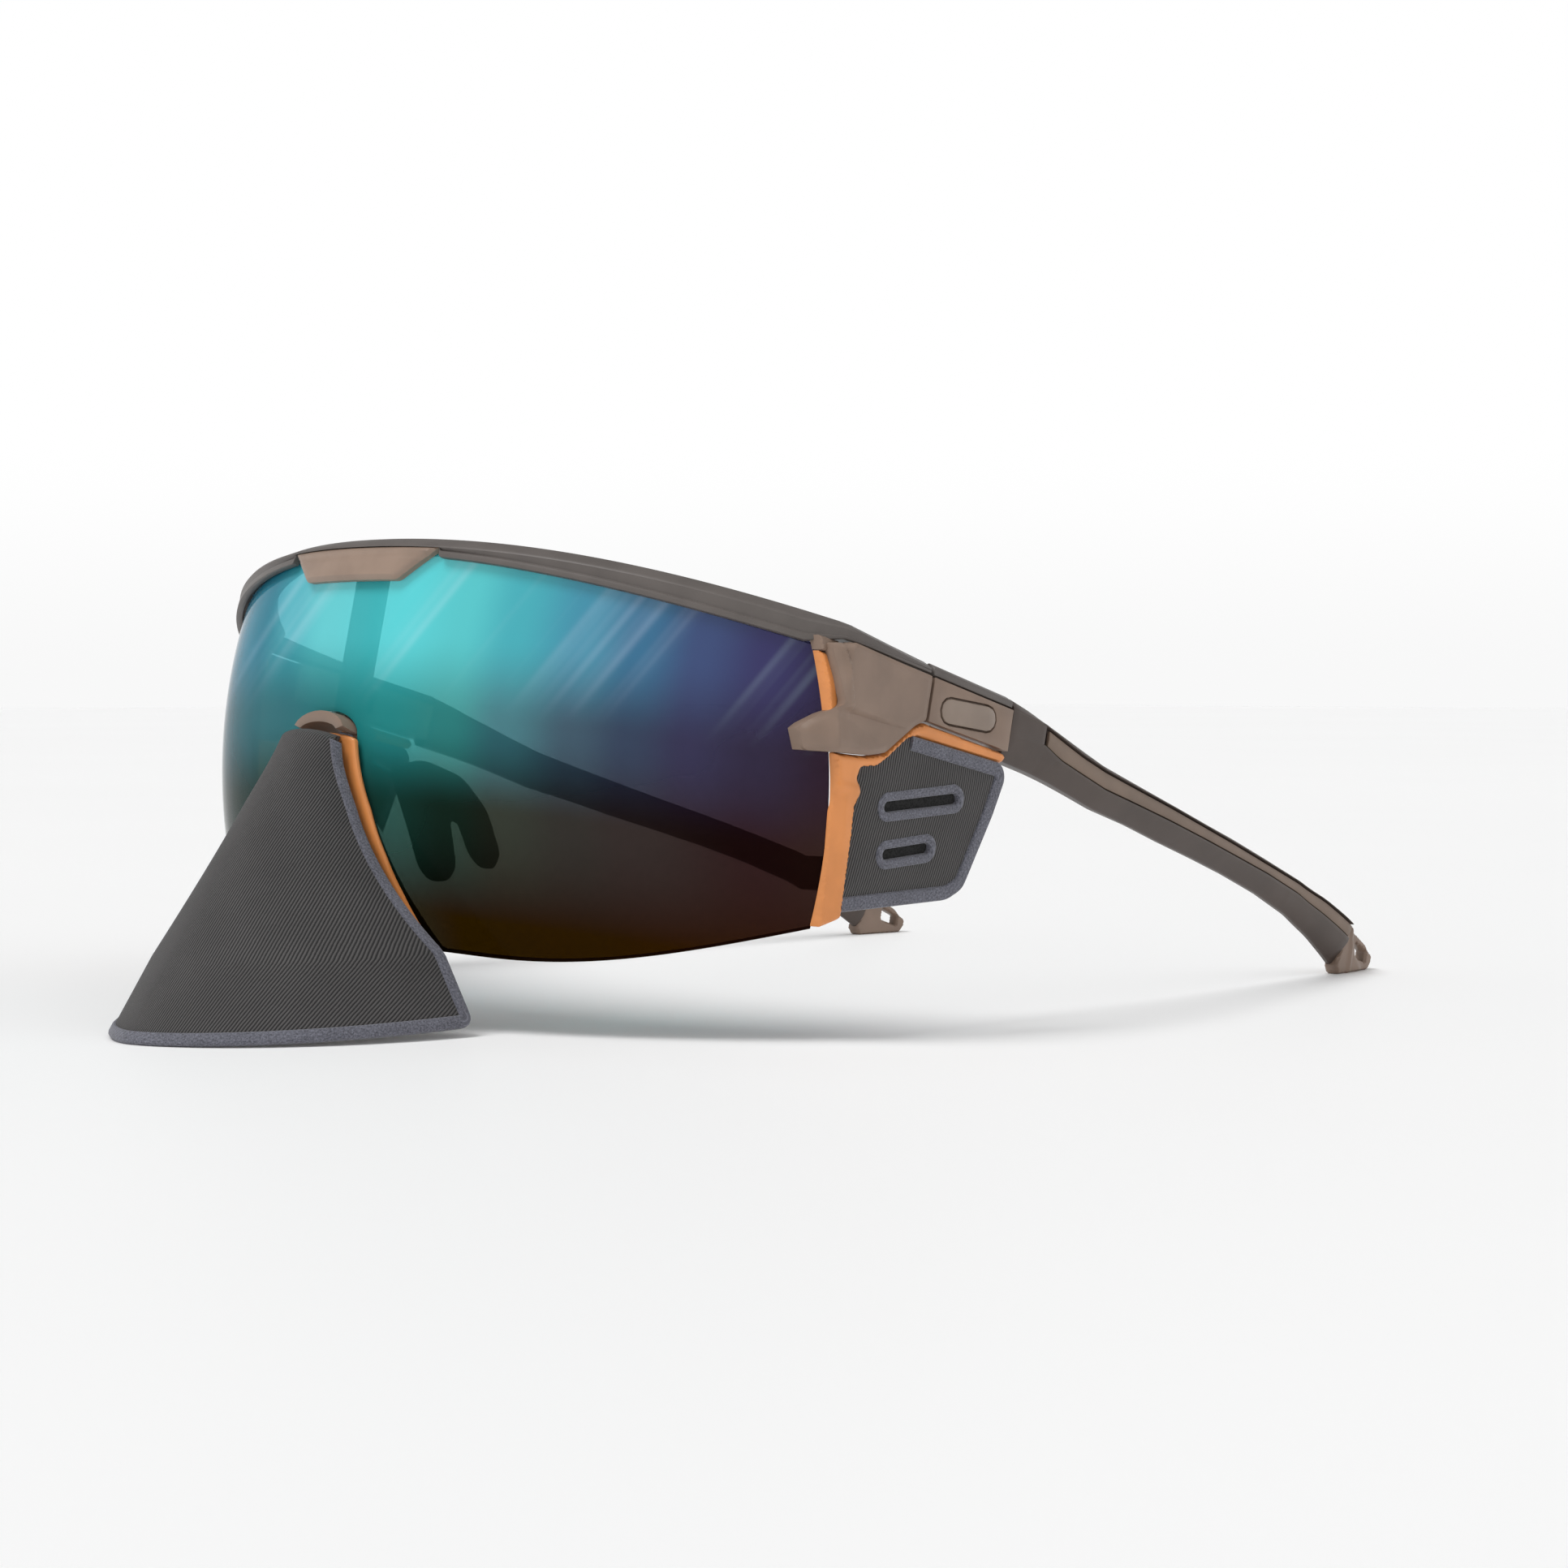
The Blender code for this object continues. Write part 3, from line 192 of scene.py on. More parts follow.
def add_solid(name, points, faces, maps):
    """A closed object with its faces turned outwards."""
    obj = add_object(name, points, faces, maps)
    made = bmesh.new()
    made.from_mesh(obj.data)
    bmesh.ops.recalc_face_normals(made, faces=made.faces)
    if made.calc_volume(signed=True) < 0:
        bmesh.ops.reverse_faces(made, faces=made.faces)
    made.to_mesh(obj.data)
    made.free()
    return obj


def grid_faces(columns, rows):
    """The faces of a grid whose points run up each column in turn."""
    return [
        (i * rows + j, (i + 1) * rows + j, (i + 1) * rows + j + 1, i * rows + j + 1)
        for i in range(columns - 1)
        for j in range(rows - 1)
    ]


def thicken(obj, thick, offset):
    """Gives a surface a thickness; offset -1 is inwards and 0 to both sides."""
    made = obj.modifiers.new("Thickness", "SOLIDIFY")
    made.thickness = thick
    made.offset = offset
    return made


def dress(obj, width, body, slot, *nodes):
    """Finishes a piece: its edges' rounding, a slot's looks, its body and the CAD nodes it replaces."""
    soften(obj, width)
    obj.data.materials.append(MATERIALS[slot])
    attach(obj, body)
    if nodes:
        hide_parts(*nodes)
    return obj


def lerp(a, b, t):
    return a + (b - a) * t


def clamp(value):
    return min(1.0, max(0.0, value))


def smoothstep(low, high, value):
    t = clamp((value - low) / (high - low))
    return t * t * (3 - 2 * t)


def along(keys, t):
    """Values at the share t of the way along a chain of (share, values) keys."""
    for (start, first), (end, second) in zip(keys, keys[1:]):
        if t <= end:
            share = max(0.0, (t - start) / (end - start))
            return tuple(lerp(a, b, share) for a, b in zip(first, second))
    return keys[-1][1]


def lengths(points):
    """How far along a chain each of its points is, in millimetres."""
    steps = [math.dist(a, b) / MM for a, b in zip(points, points[1:])]
    return [sum(steps[:k]) for k in range(len(points))]


def loft(name, rings, closed=False):
    """A solid through rings of points; closed joins the last ring to the first."""
    count = len(rings[0])
    points = [Vector(point) for ring in rings for point in ring]
    faces = []
    for k in range(len(rings) - (not closed)):
        a, b = k * count, ((k + 1) % len(rings)) * count
        for j in range(count):
            n = (j + 1) % count
            faces.append((a + j, a + n, b + n, b + j))
    if not closed:
        faces += [tuple(range(count)), tuple(range(len(points) - count, len(points)))]
    runs = lengths([ring[0] for ring in rings])
    maps = [(run, around) for run, ring in zip(runs, rings) for around in lengths(ring)]
    return add_solid(name, points, faces, maps)


def tape(name, outer, inner, thick, closed=False, roll=14):
    """A folded tape between two edges, with a rounded section; thick is along its face."""
    rings = []
    count = len(outer)
    for k in range(count):
        a, b = Vector(outer[k]), Vector(inner[k])
        before = k - 1 if k or closed else 0
        after = (k + 1) % count if closed else min(k + 1, count - 1)
        ahead = Vector(outer[after]) + Vector(inner[after])
        run = ahead - (Vector(outer[before]) + Vector(inner[before]))
        across = (b - a) / 2
        normal = run.cross(across).normalized() * thick / 2
        ring = []
        for j in range(roll):
            turn = 2 * math.pi * j / roll
            c, s = math.cos(turn), math.sin(turn)
            wide = math.copysign(abs(c) ** 0.45, c)
            high = math.copysign(abs(s) ** 0.7, s)
            ring.append((a + b) / 2 + across * wide + normal * high)
        rings.append(ring)
    return loft(name, rings, closed)


def spaced(chain, step):
    """An open chain with points about step apart, its corners among them."""
    points = []
    for a, b in zip(chain, chain[1:]):
        count = max(1, round(math.dist(a, b) / step))
        shares = [k / count for k in range(count)]
        points += [(lerp(a[0], b[0], t), lerp(a[1], b[1], t)) for t in shares]
    return points + [chain[-1]]


def corner(before, here, after, radius, steps, most):
    """A curve that cuts a corner. It takes up at most this share of each side."""
    before, here, after = Vector(before), Vector(here), Vector(after)
    reach = min(radius, (before - here).length * most, (after - here).length * most)
    a = here + (before - here).normalized() * reach
    b = here + (after - here).normalized() * reach
    shares = [k / steps for k in range(steps + 1)]
    return [tuple(a * (1 - t) ** 2 + here * 2 * t * (1 - t) + b * t * t) for t in shares]


def rounded(loop, radius, steps=5):
    """A closed loop with its corners cut."""
    points = []
    for k, here in enumerate(loop):
        points += corner(loop[k - 1], here, loop[(k + 1) % len(loop)], radius, steps, 0.45)
    return points


def soft_corners(chain, radius):
    """An open chain with its corners cut."""
    points = [chain[0]]
    for before, here, after in zip(chain, chain[1:], chain[2:]):
        points += corner(before, here, after, radius, 6, 0.48)
    return points + [chain[-1]]


def from_edges(points, loops):
    """How far each of these points is from the nearest of the loops' edges."""
    points = np.array(points, float)
    best = np.full(len(points), 1e9)
    for loop in loops:
        for a, b in zip(loop, loop[1:] + loop[:1]):
            a, b = np.array(a), np.array(b)
            run = b - a
            share = ((points - a) @ run) / max(run @ run, 1e-18)
            near = a + np.clip(share, 0, 1)[:, None] * run
            best = np.minimum(best, np.linalg.norm(points - near, axis=1))
    return best


def inside(point, loop):
    u, v = point
    odd = False
    for (u1, v1), (u2, v2) in zip(loop, loop[1:] + loop[:1]):
        if (v1 > v) != (v2 > v) and u < u1 + (v - v1) / (v2 - v1) * (u2 - u1):
            odd = not odd
    return odd


def fill(outline, holes, step):
    """Triangles over an outline of (u, v) points with holes: points, faces, edge distances."""
    loops = [spaced([*loop, loop[0]], step)[:-1] for loop in [outline, *holes]]
    low = [min(point[k] for point in outline) for k in (0, 1)]
    high = [max(point[k] for point in outline) for k in (0, 1)]
    columns = int((high[0] - low[0]) / step)
    rows = int((high[1] - low[1]) / (step * 0.87))
    grid = [
        (low[0] + (i + 0.5 * (j % 2)) * step, low[1] + j * step * 0.87)
        for i in range(columns + 1)
        for j in range(rows + 1)
    ]

    def within(point):
        return inside(point, outline) and not any(inside(point, hole) for hole in holes)

    clear = from_edges(grid, loops)
    inner = [point for point, gap in zip(grid, clear) if gap > 0.6 * step and within(point)]
    points, edges = [], []
    for loop in loops:
        first = len(points)
        points += loop
        edges += [(first + k, first + (k + 1) % len(loop)) for k in range(len(loop))]
    scaled = [Vector(point) * 1000 for point in points + inner]
    found = delaunay_2d_cdt(scaled, edges, [list(range(len(loops[0])))], 1, 1e-6)
    flat = [tuple(vert / 1000) for vert in found[0]]
    faces = []
    for face in found[2]:
        middle = [sum(flat[k][axis] for k in face) / len(face) for axis in (0, 1)]
        if not any(inside(middle, hole) for hole in holes):
            faces.append(tuple(face))
    return flat, faces, from_edges(flat, loops)


def relief(name, outline, step, place, heights, holes=()):
    """A solid over an outline. heights(u, v, d) gives its low and high face, d in from the edge, and
    place(u, v, h) its points."""
    flat, faces, depth = fill(outline, holes, step)
    count = len(flat)
    levels = [heights(u, v, d) for (u, v), d in zip(flat, depth)]
    points = [place(u, v, level[0]) for (u, v), level in zip(flat, levels)]
    points += [place(u, v, level[1]) for (u, v), level in zip(flat, levels)]
    edges = {edge: True for face in faces for edge in zip(face, face[1:] + face[:1])}
    rim = [(a, b) for a, b in edges if (b, a) not in edges]
    solid = [face[::-1] for face in faces]
    solid += [tuple(k + count for k in face) for face in faces]
    solid += [(a, b, b + count, a + count) for a, b in rim]
    maps = [(u / MM, v / MM) for u, v in flat] * 2
    return add_solid(name, points, solid, maps)


def on_side(side, base=lambda y, z: 0.0):
    """Places of a piece on one side, from (y, z) and a height over its base there."""
    return lambda y, z, height: (side * (base(y, z) + height), y, z)


def round_off(d, radius):
    """How far a rounded edge of this radius drops at the distance d in from it."""
    if d >= radius:
        return 0.0
    return radius - math.sqrt(max(0.0, radius**2 - (radius - d) ** 2))


# ---- shared surfaces


def floor_z(y):
    return NOSE_FRONT[1] + FLOOR_SLOPE * (y - NOSE_FRONT[0])


def lens_y(x, z, proud=0.0):
    return LENS_RADIUS - math.sqrt((LENS_RADIUS + proud) ** 2 - x**2 - (z - LENS_MID_Z) ** 2)


def lens_x(y, z, proud=0.0):
    radius = LENS_RADIUS + proud
    return math.sqrt(radius**2 - (LENS_RADIUS - y) ** 2 - (z - LENS_MID_Z) ** 2)


def bar_edge(x):
    return (-1.2 - 7.4 * (abs(x) / LENS_HALF) ** 1.9) * MM


def bar_top(x):
    return (1.5 - 5.8 * (abs(x) / LENS_HALF) ** 2.6) * MM


def lens_bottom(x):
    x = abs(x)
    if x < NOTCH_HALF:
        notch = lerp(NOTCH_SPRING, NOTCH_TOP, math.sqrt(1 - (x / NOTCH_HALF) ** 2))
    else:
        notch = NOTCH_SPRING - math.sqrt(NOTCH_FLARE * (x - NOTCH_HALF))
    reach = max(0.0, (x - 27 * MM) / (LENS_HALF - 27 * MM))
    return max(notch, LENS_LOW_Z + 9.9 * MM * reach**2.4)


def notch_half(z):
    return NOTCH_HALF + max(0.0, NOTCH_SPRING - z) ** 2 / NOTCH_FLARE


def lens_side(z):
    return LENS_HALF - 8.5 * (z - LENS_WIDEST_Z) ** 2


def lens_edge_y(z):
    return lens_y(lens_side(z), z)


def lug_top(y):
    return -7.1 * MM - 0.055 * (y - EDGE_Y + 1.2 * MM)


def shield_x(z):
    return SHIELD_X + SHIELD_LEAN * min(0.0, z - SHIELD_BEND_Z)


def back_from(depth, *pairs):
    return [(depth + back * MM, up * MM) for back, up in pairs]


def arc(centre, radius, first, last, steps):
    turns = [math.radians(lerp(first, last, k / steps)) for k in range(steps + 1)]
    return [(centre[0] + radius * math.cos(t), centre[1] + radius * math.sin(t)) for t in turns]


def stadium(start, end, radius, steps=10):
    heading = math.degrees(math.atan2(end[1] - start[1], end[0] - start[0]))
    points = arc(end, radius, heading - 90, heading + 90, steps)
    return points + arc(start, radius, heading + 90, heading + 270, steps)


# ---- materials


def ramp(tree, factor, stops, mode="EASE"):
    """A colour ramp through (place, colour) stops."""
    made = node(tree, "ShaderNodeValToRGB", {"Fac": factor})
    made.color_ramp.interpolation = mode
    elements = made.color_ramp.elements
    elements.remove(elements[-1])
    elements[0].position = stops[0][0]
    for place, _ in stops[1:]:
        elements.new(place)
    for element, (_, colour) in zip(elements, stops):
        element.color = (*colour, 1)
    return made.outputs["Color"]


def mix(tree, factor, a, b, blend="MIX"):
    a, b = (c if isinstance(c, bpy.types.NodeSocket) else (*c, 1) for c in (a, b))
    inputs = {"Fac": factor, "Color1": a, "Color2": b}
    return node(tree, "ShaderNodeMixRGB", inputs, blend_type=blend).outputs["Color"]


def sums(tree, operation, *values):
    inputs = dict(enumerate(values))
    return node(tree, "ShaderNodeMath", inputs, operation=operation).outputs[0]


def new_material(name, looks):
    """A Principled material with these uniform values: (material, tree, shader)."""
    made = bpy.data.materials.new(name)
    made.use_nodes = True
    shader = made.node_tree.nodes["Principled BSDF"]
    for key, value in looks.items():
        shader.inputs[key].default_value = value
    return made, made.node_tree, shader


def coordinates(tree, kind):
    return node(tree, "ShaderNodeTexCoord").outputs[kind]


def span(tree, value, low, high, kind="SMOOTHSTEP"):
    """0 to 1 as the value runs from low to high."""
    inputs = {"Value": value, "From Min": low, "From Max": high}
    return node(tree, "ShaderNodeMapRange", inputs, interpolation_type=kind).outputs[0]


def paint(tree, shader, factor, *stops):
    """Gives the shader a colour that follows a factor."""
    tree.links.new(ramp(tree, factor, stops), shader.inputs["Base Color"])


def noise(tree, vector, scale, detail=3.0, rough=0.55):
    inputs = {"Vector": vector, "Scale": scale, "Detail": detail, "Roughness": rough}
    return node(tree, "ShaderNodeTexNoise", inputs).outputs["Fac"]


def bump(tree, shader, height, strength, distance):
    inputs = {"Height": height, "Strength": strength, "Distance": distance}
    made = node(tree, "ShaderNodeBump", inputs)
    tree.links.new(made.outputs["Normal"], shader.inputs["Normal"])


def plastic(name, colour, roughness, grain, coat):
    """Satin moulded plastic or rubber: slightly uneven colour and a fine grain."""
    looks = {"Roughness": roughness, "Coat Weight": coat, "Specular IOR Level": 0.4}
    made, tree, shader = new_material(name, looks)
    place = coordinates(tree, "Object")
    darker = [c * 0.9 for c in colour]
    lighter = [min(1.0, c * 1.08) for c in colour]
    paint(tree, shader, noise(tree, place, 130), (0.3, darker), (0.7, lighter))
    bump(tree, shader, noise(tree, place, 5000, 1.0), grain, 0.02 * MM)
    return made


def heather(name, dark, light):
    """Fine knitted tape of mixed yarns."""
    made, tree, shader = new_material(name, {"Roughness": 0.9, "Sheen Weight": 0.25})
    place = coordinates(tree, "UV")
    flecks = noise(tree, place, 3.4, 4.0, 0.8)
    cloud = sums(tree, "MULTIPLY", noise(tree, place, 0.35, 2.0), 0.1)
    waves = {"Vector": place, "Scale": 0.75, "Distortion": 2.0, "Detail": 2.0, "Detail Scale": 3.0}
    yarn = node(tree, "ShaderNodeTexWave", waves, bands_direction="DIAGONAL").outputs["Fac"]
    share = sums(tree, "ADD", sums(tree, "MULTIPLY", flecks, 0.9), cloud)
    between = [(a + b) / 2 for a, b in zip(dark, light)]
    paint(tree, shader, share, (0.40, dark), (0.52, between), (0.62, light))
    height = sums(tree, "ADD", sums(tree, "MULTIPLY", yarn, 0.6), flecks)
    bump(tree, shader, height, 0.55, 0.09 * MM)
    return made


WAVE_SCALE = 0.314  # a wave texture's scale times its period


def twill(name, dark, light, period=0.42, turn=4):
    """Woven cloth with a rib, its period in millimetres and its turn in degrees of the UV map."""
    made, tree, shader = new_material(name, {"Roughness": 0.88, "Sheen Weight": 0.12})
    place = coordinates(tree, "UV")
    turning = {"Vector": place, "Rotation": (0, 0, math.radians(turn))}
    turned = node(tree, "ShaderNodeMapping", turning).outputs[0]
    waves = {"Vector": turned, "Scale": WAVE_SCALE / period, "Distortion": 0.6, "Detail": 0.0}
    rib = node(tree, "ShaderNodeTexWave", waves).outputs["Fac"]
    cloud = noise(tree, place, 0.12, 3.0)
    fleck = noise(tree, place, 2.2, 2.0, 0.7)
    share = sums(tree, "MULTIPLY", rib, sums(tree, "ADD", fleck, 0.5))
    tone = ramp(tree, share, ((0.1, dark), (0.75, light)), "LINEAR")
    shade = ramp(tree, cloud, ((0.3, (0.86, 0.86, 0.86)), (0.7, (1, 1, 1))))
    tree.links.new(mix(tree, 1.0, tone, shade, "MULTIPLY"), shader.inputs["Base Color"])
    bump(tree, shader, rib, 0.7, 0.12 * MM)
    return made


LENS_LOOKS = {"Roughness": 0.04, "IOR": 1.06, "Transmission Weight": 0.3}

# The coating's colours: a height on the lens and stops across it, each a hundredth of the width
# and thousandths of red, green and blue
LENS_TONES = (
    (-0.50, (
        (39, 10, 11, 6), (59, 5, 4, 1), (67, 4, 1, 0), (80, 5, 1, 0),
        (90, 7, 1, 0), (100, 8, 1, 0),
    )),
    (-0.36, (
        (10, 27, 35, 32), (47, 18, 59, 48), (59, 9, 53, 41), (67, 8, 25, 16),
        (73, 13, 16, 10), (80, 11, 9, 7), (85, 12, 7, 6), (95, 9, 2, 2),
        (100, 11, 3, 2),
    )),
    (-0.24, (
        (10, 25, 72, 107), (39, 41, 205, 240), (59, 20, 294, 294), (67, 34, 269, 259),
        (73, 35, 151, 181), (80, 25, 57, 91), (85, 15, 26, 59), (90, 15, 13, 44),
        (95, 11, 7, 23), (100, 9, 3, 8),
    )),
    (-0.12, (
        (10, 20, 113, 201), (30, 31, 259, 365), (39, 59, 414, 494), (47, 91, 567, 606),
        (59, 69, 606, 646), (67, 61, 515, 544), (73, 36, 365, 433), (80, 32, 222, 342),
        (85, 22, 113, 231), (90, 25, 44, 138), (95, 20, 18, 81), (100, 10, 6, 27),
    )),
)  # fmt: skip


def tone_at(tree, share, stops):
    """The coating's colour across the lens at one height."""
    return ramp(tree, share, [(at / 100, (r / 1000, g / 1000, b / 1000)) for at, r, g, b in stops])


def lens_coating():
    """Tinted, partly clear lens with a mirror coating that changes over its width and height, and
    painted reflection streaks over its top.
    Its UV map is (x, z) in hundreds of millimetres."""
    made, tree, shader = new_material("lens_coating", LENS_LOOKS)
    place = node(tree, "ShaderNodeSeparateXYZ", {0: coordinates(tree, "UV")})
    share = span(tree, place.outputs["X"], -0.67, 0.67, "LINEAR")
    below, stops = LENS_TONES[0]
    colour = tone_at(tree, share, stops)
    for height, stops in LENS_TONES[1:]:
        above = span(tree, place.outputs["Y"], below, height)
        colour = mix(tree, above, colour, tone_at(tree, share, stops))
        below = height
    # Painted reflection: pale diagonal streaks screened over the coating's top band, in place of
    # reflected lights
    across = {0: coordinates(tree, "Object"), 1: REFLECTION_STREAKS_ACROSS}
    across = node(tree, "ShaderNodeVectorMath", across, operation="DOT_PRODUCT").outputs["Value"]
    stretched = node(tree, "ShaderNodeCombineXYZ", {"X": across}).outputs[0]
    fine, broad = noise(tree, stretched, 210, 2.0, 0.6), noise(tree, stretched, 60, 1.0)
    bands = sums(tree, "MULTIPLY", fine, broad)
    painted_reflection = sums(tree, "MULTIPLY", span(tree, bands, 0.25, 0.50), above)
    painted_reflection = sums(tree, "MULTIPLY", painted_reflection, 0.6)
    colour = mix(tree, painted_reflection, colour, (0.30, 0.40, 0.55), "SCREEN")
    tree.links.new(colour, shader.inputs["Base Color"])
    return made


def lens_body():
    """The lens's clear material, at its rim and inner face."""
    looks = {**LENS_LOOKS, "Roughness": 0.0, "Transmission Weight": 1.0}
    made, tree, shader = new_material("lens_body", looks)
    cloud = noise(tree, coordinates(tree, "Object"), 40)
    paint(tree, shader, cloud, (0.3, (0.80, 0.84, 0.84)), (0.7, (0.84, 0.86, 0.86)))
    return made


def slot_shade_sheet():
    """Painted shade for the side shield's slots: a near-black sheet with a fine net-like cell pattern,
    in place of the shade seen through open slots.
    """
    made, tree, shader = new_material("painted_slot_shade", {"Roughness": 0.95})
    holes = {"Vector": coordinates(tree, "UV"), "Scale": 3.2}
    cells = node(tree, "ShaderNodeTexVoronoi", holes).outputs["Distance"]
    paint(tree, shader, cells, (0.2, (0.004, 0.004, 0.004)), (0.7, (0.016, 0.016, 0.016)))
    bump(tree, shader, cells, 0.6, 0.08 * MM)
    return made


def steel():
    """The screws and the pads' wire cores."""
    made, tree, shader = new_material("bright_steel", {"Metallic": 1.0, "Roughness": 0.28})
    wear = noise(tree, coordinates(tree, "Object"), 900)
    paint(tree, shader, wear, (0.3, (0.52, 0.52, 0.53)), (0.7, (0.62, 0.62, 0.62)))
    return made


# The plastics' colour, roughness, grain and coat
PLASTICS = {
    "bar": ((0.115, 0.10, 0.092), 0.45, 0.25, 0),
    "insert": ((0.30, 0.215, 0.165), 0.4, 0.25, 0),
    "taupe": ((0.235, 0.165, 0.125), 0.40, 0.25, 0),
    "badge": ((0.25, 0.19, 0.15), 0.3, 0.1, 0.2),
    "arm": ((0.070, 0.052, 0.044), 0.42, 0.25, 0),
    "inlay": ((0.19, 0.135, 0.10), 0.45, 0.25, 0),
    "orange": ((0.70, 0.26, 0.075), 0.35, 0.15, 0.15),
}
MATERIALS = {
    **{name: plastic(f"{name}_plastic", *looks) for name, looks in PLASTICS.items()},
    "pad": plastic("pad_rubber", (0.028, 0.028, 0.028), 0.62, 0.4, 0),
    "lens_body": lens_body(),
    "slot_shade": slot_shade_sheet(),
    "fabric": twill("twill_cloth", (0.009, 0.0085, 0.009), (0.092, 0.087, 0.086)),
    "binding": heather("heather_tape", (0.058, 0.058, 0.072), (0.19, 0.193, 0.235)),
    "lens": lens_coating(),
    "steel": steel(),
}


# ---- lens, bar and insert


def make_lens():
    """The shield lens as a fine grid, thickened inwards, with rounded edges."""
    half = [NOTCH_HALF * math.sin(math.pi / 2 * k / 12) for k in range(13)]
    span = LENS_HALF - NOTCH_HALF
    half += [NOTCH_HALF + span * (k / 64) ** 1.5 for k in range(1, 65)]
    columns = [-x for x in reversed(half[1:])] + half
    rows = 33
    points, maps = [], []
    for nominal in columns:
        for j in range(rows):
            z = lerp(lens_bottom(nominal), bar_edge(nominal) + 0.9 * MM, j / (rows - 1))
            x = nominal * lens_side(z) / LENS_HALF
            points.append((x, lens_y(x, z), z))
            maps.append((x * 10, z * 10))
    faces = grid_faces(len(columns), rows)
    obj = add_object("lens_shown", points, faces, maps)
    thicken(obj, LENS_THICK, -1).material_offset = 1
    dress(obj, 0.3 * MM, "front", "lens", "lens")
    obj.data.materials.append(MATERIALS["lens_body"])


def bar_section(x):
    """The bar's section over the lens, as (outwards from the lens, height) in millimetres."""
    top, edge = bar_top(x) / MM, bar_edge(x) / MM
    gap = CURVE_GAP / MM
    notched = smoothstep(17.1 * MM, 16.6 * MM, abs(x))
    low = lerp(edge, -0.1, notched)
    lip = lerp(1.0, 0.25, notched)
    return (
        (-4.0, top - 0.9), (-3.4, top - 0.1), (-0.5, top), (1.45, top - 1.3), (1.62, top - 1.7),
        (1.08, low + 1.1 * lip), (1.46, low + 0.85 * lip), (1.40, low + 0.1), (1.1, low),
        (gap, low), (gap, edge + 1.2), (-4.0, edge + 1.2),
    )  # fmt: skip


def bar_ring(angle, side):
    ring = []
    for proud, up in bar_section(LENS_RADIUS * math.sin(angle)):
        z = up * MM
        radius = math.sqrt(LENS_RADIUS**2 - (z - LENS_MID_Z) ** 2) + proud * MM
        x, y = radius * math.sin(angle), LENS_RADIUS - radius * math.cos(angle)
        ring.append((side * x, y, z))
    return ring


def bar_end_ring(back, top, round_in, side):
    """A ring of the bar's end, that lies over the lug."""
    y = EDGE_Y + back * MM
    low = lug_top(y) / MM + 0.35
    inner = SIDE_X / MM - 5.6
    outer = SIDE_X / MM - 0.3 - round_in
    ring = (
        (inner, top - 0.9), (inner + 0.6, top - 0.1), (outer - 1.7, top), (outer - 0.15, top - 0.8),
        (outer, top - 1.1), (outer - 0.12, low + 0.5), (outer, low + 0.4), (outer - 0.05, low + 0.1),
        (outer - 0.3, low), (outer - 0.9, low), (outer - 1.6, low + 0.1), (inner, low + 0.1),
    )  # fmt: skip
    return [(side * across * MM, y, up * MM) for across, up in ring]


def make_bar():
    """The brow bar: two facets, a thin rim over the lens, and an end over each lug."""
    reach = math.asin((LENS_HALF - 3.6 * MM) / LENS_RADIUS)
    angles = [reach * k / 46 for k in range(47)]
    step = math.asin(16.85 * MM / LENS_RADIUS)
    angles = [a for a in angles if abs(a - step) > math.radians(0.6)]
    angles = sorted(angles + [step + math.radians(d) for d in (-0.3, -0.1, 0.1, 0.3)])
    end = (-1.6, -4.2, 0.8), (0.2, -4.4, 0.2), (2.3, -4.7, 0), (7.8, -5.3, 0), (14.9, -6.0, 0)

    def half(side):
        return [bar_ring(a, side) for a in angles] + [bar_end_ring(*key, side) for key in end]

    bar = loft("brow_bar_shown", half(-1)[::-1] + half(1)[1:])
    dress(bar, 0.16 * MM, "front", "bar", "brow_bar")


def make_insert():
    """The trapezoid in the bar, with a dark seam along its top and chamfered edges."""
    outline = [(-10.4, -5.1), (10.4, -5.1), (16.8, -0.2), (-16.8, -0.2)]
    outline = rounded([(x * MM, z * MM) for x, z in outline], 0.7 * MM)

    def heights(x, z, d):
        chamfer = 0.45 * MM * max(0.0, 1 - d / (0.7 * MM))
        groove = 0.16 * MM * math.exp(-(((z + 1.5 * MM) / (0.22 * MM)) ** 2))
        return CURVE_GAP, CURVE_GAP + 1.45 * MM - chamfer - groove - round_off(d, 0.15 * MM)

    insert = relief(
        "brow_insert_shown", outline, 0.4 * MM, lambda x, z, h: (x, lens_y(x, z, h), z), heights
    )
    dress(insert, 0, "front", "insert", "brow_insert")


# ---- lugs and temples


# Where the lug's front edge is, at its top and above its tab: millimetres behind EDGE_Y
LUG_LEAD = (-4.1, -1.7)


def lug_outline():
    rear = SPLIT_Y - GAP
    outline = back_from(EDGE_Y, (LUG_LEAD[0], -7.7), (-1.4, -7.3), (-1.2, -7.1))
    outline += [(rear, lug_top(rear)), (rear, -14.1 * MM)]
    outline += back_from(
        EDGE_Y,
        (13.0, -15.2), (8.0, -20.0), (4.8, -21.0), (-0.2, -21.7), (-3.0, -22.1),
        (-4.8, -22.3), (-5.7, -19.6), (-5.2, -18.8), (-3.6, -17.2),
    )  # fmt: skip
    outline += back_from(EDGE_Y, (LUG_LEAD[1], -15.6))
    return rounded(outline, 0.5 * MM, 3)


def lug_relief(y, z, d):
    """How far the lug's facets stand out over the CAD plate, in millimetres."""
    back = (y - EDGE_Y) / MM
    up = z / MM
    crease = -15.7 - 0.05 * back
    face = lerp(0.95, 0.12, clamp(back / 15.0))
    lead = lerp(*LUG_LEAD, (up + 8.2) / -7.4)
    rib = 0.55 * smoothstep(lead + 1.8, lead + 1.4, back) * smoothstep(-17.4, -15.6, up)
    undercut = smoothstep(crease + 0.35, crease - 0.75, up)
    foot = clamp((crease - 0.9 - up) / 3.6)
    chamfer = 0.4 * max(0.0, 1 - d / (0.6 * MM))
    return max(0.06, face + rib - undercut + foot - chamfer)


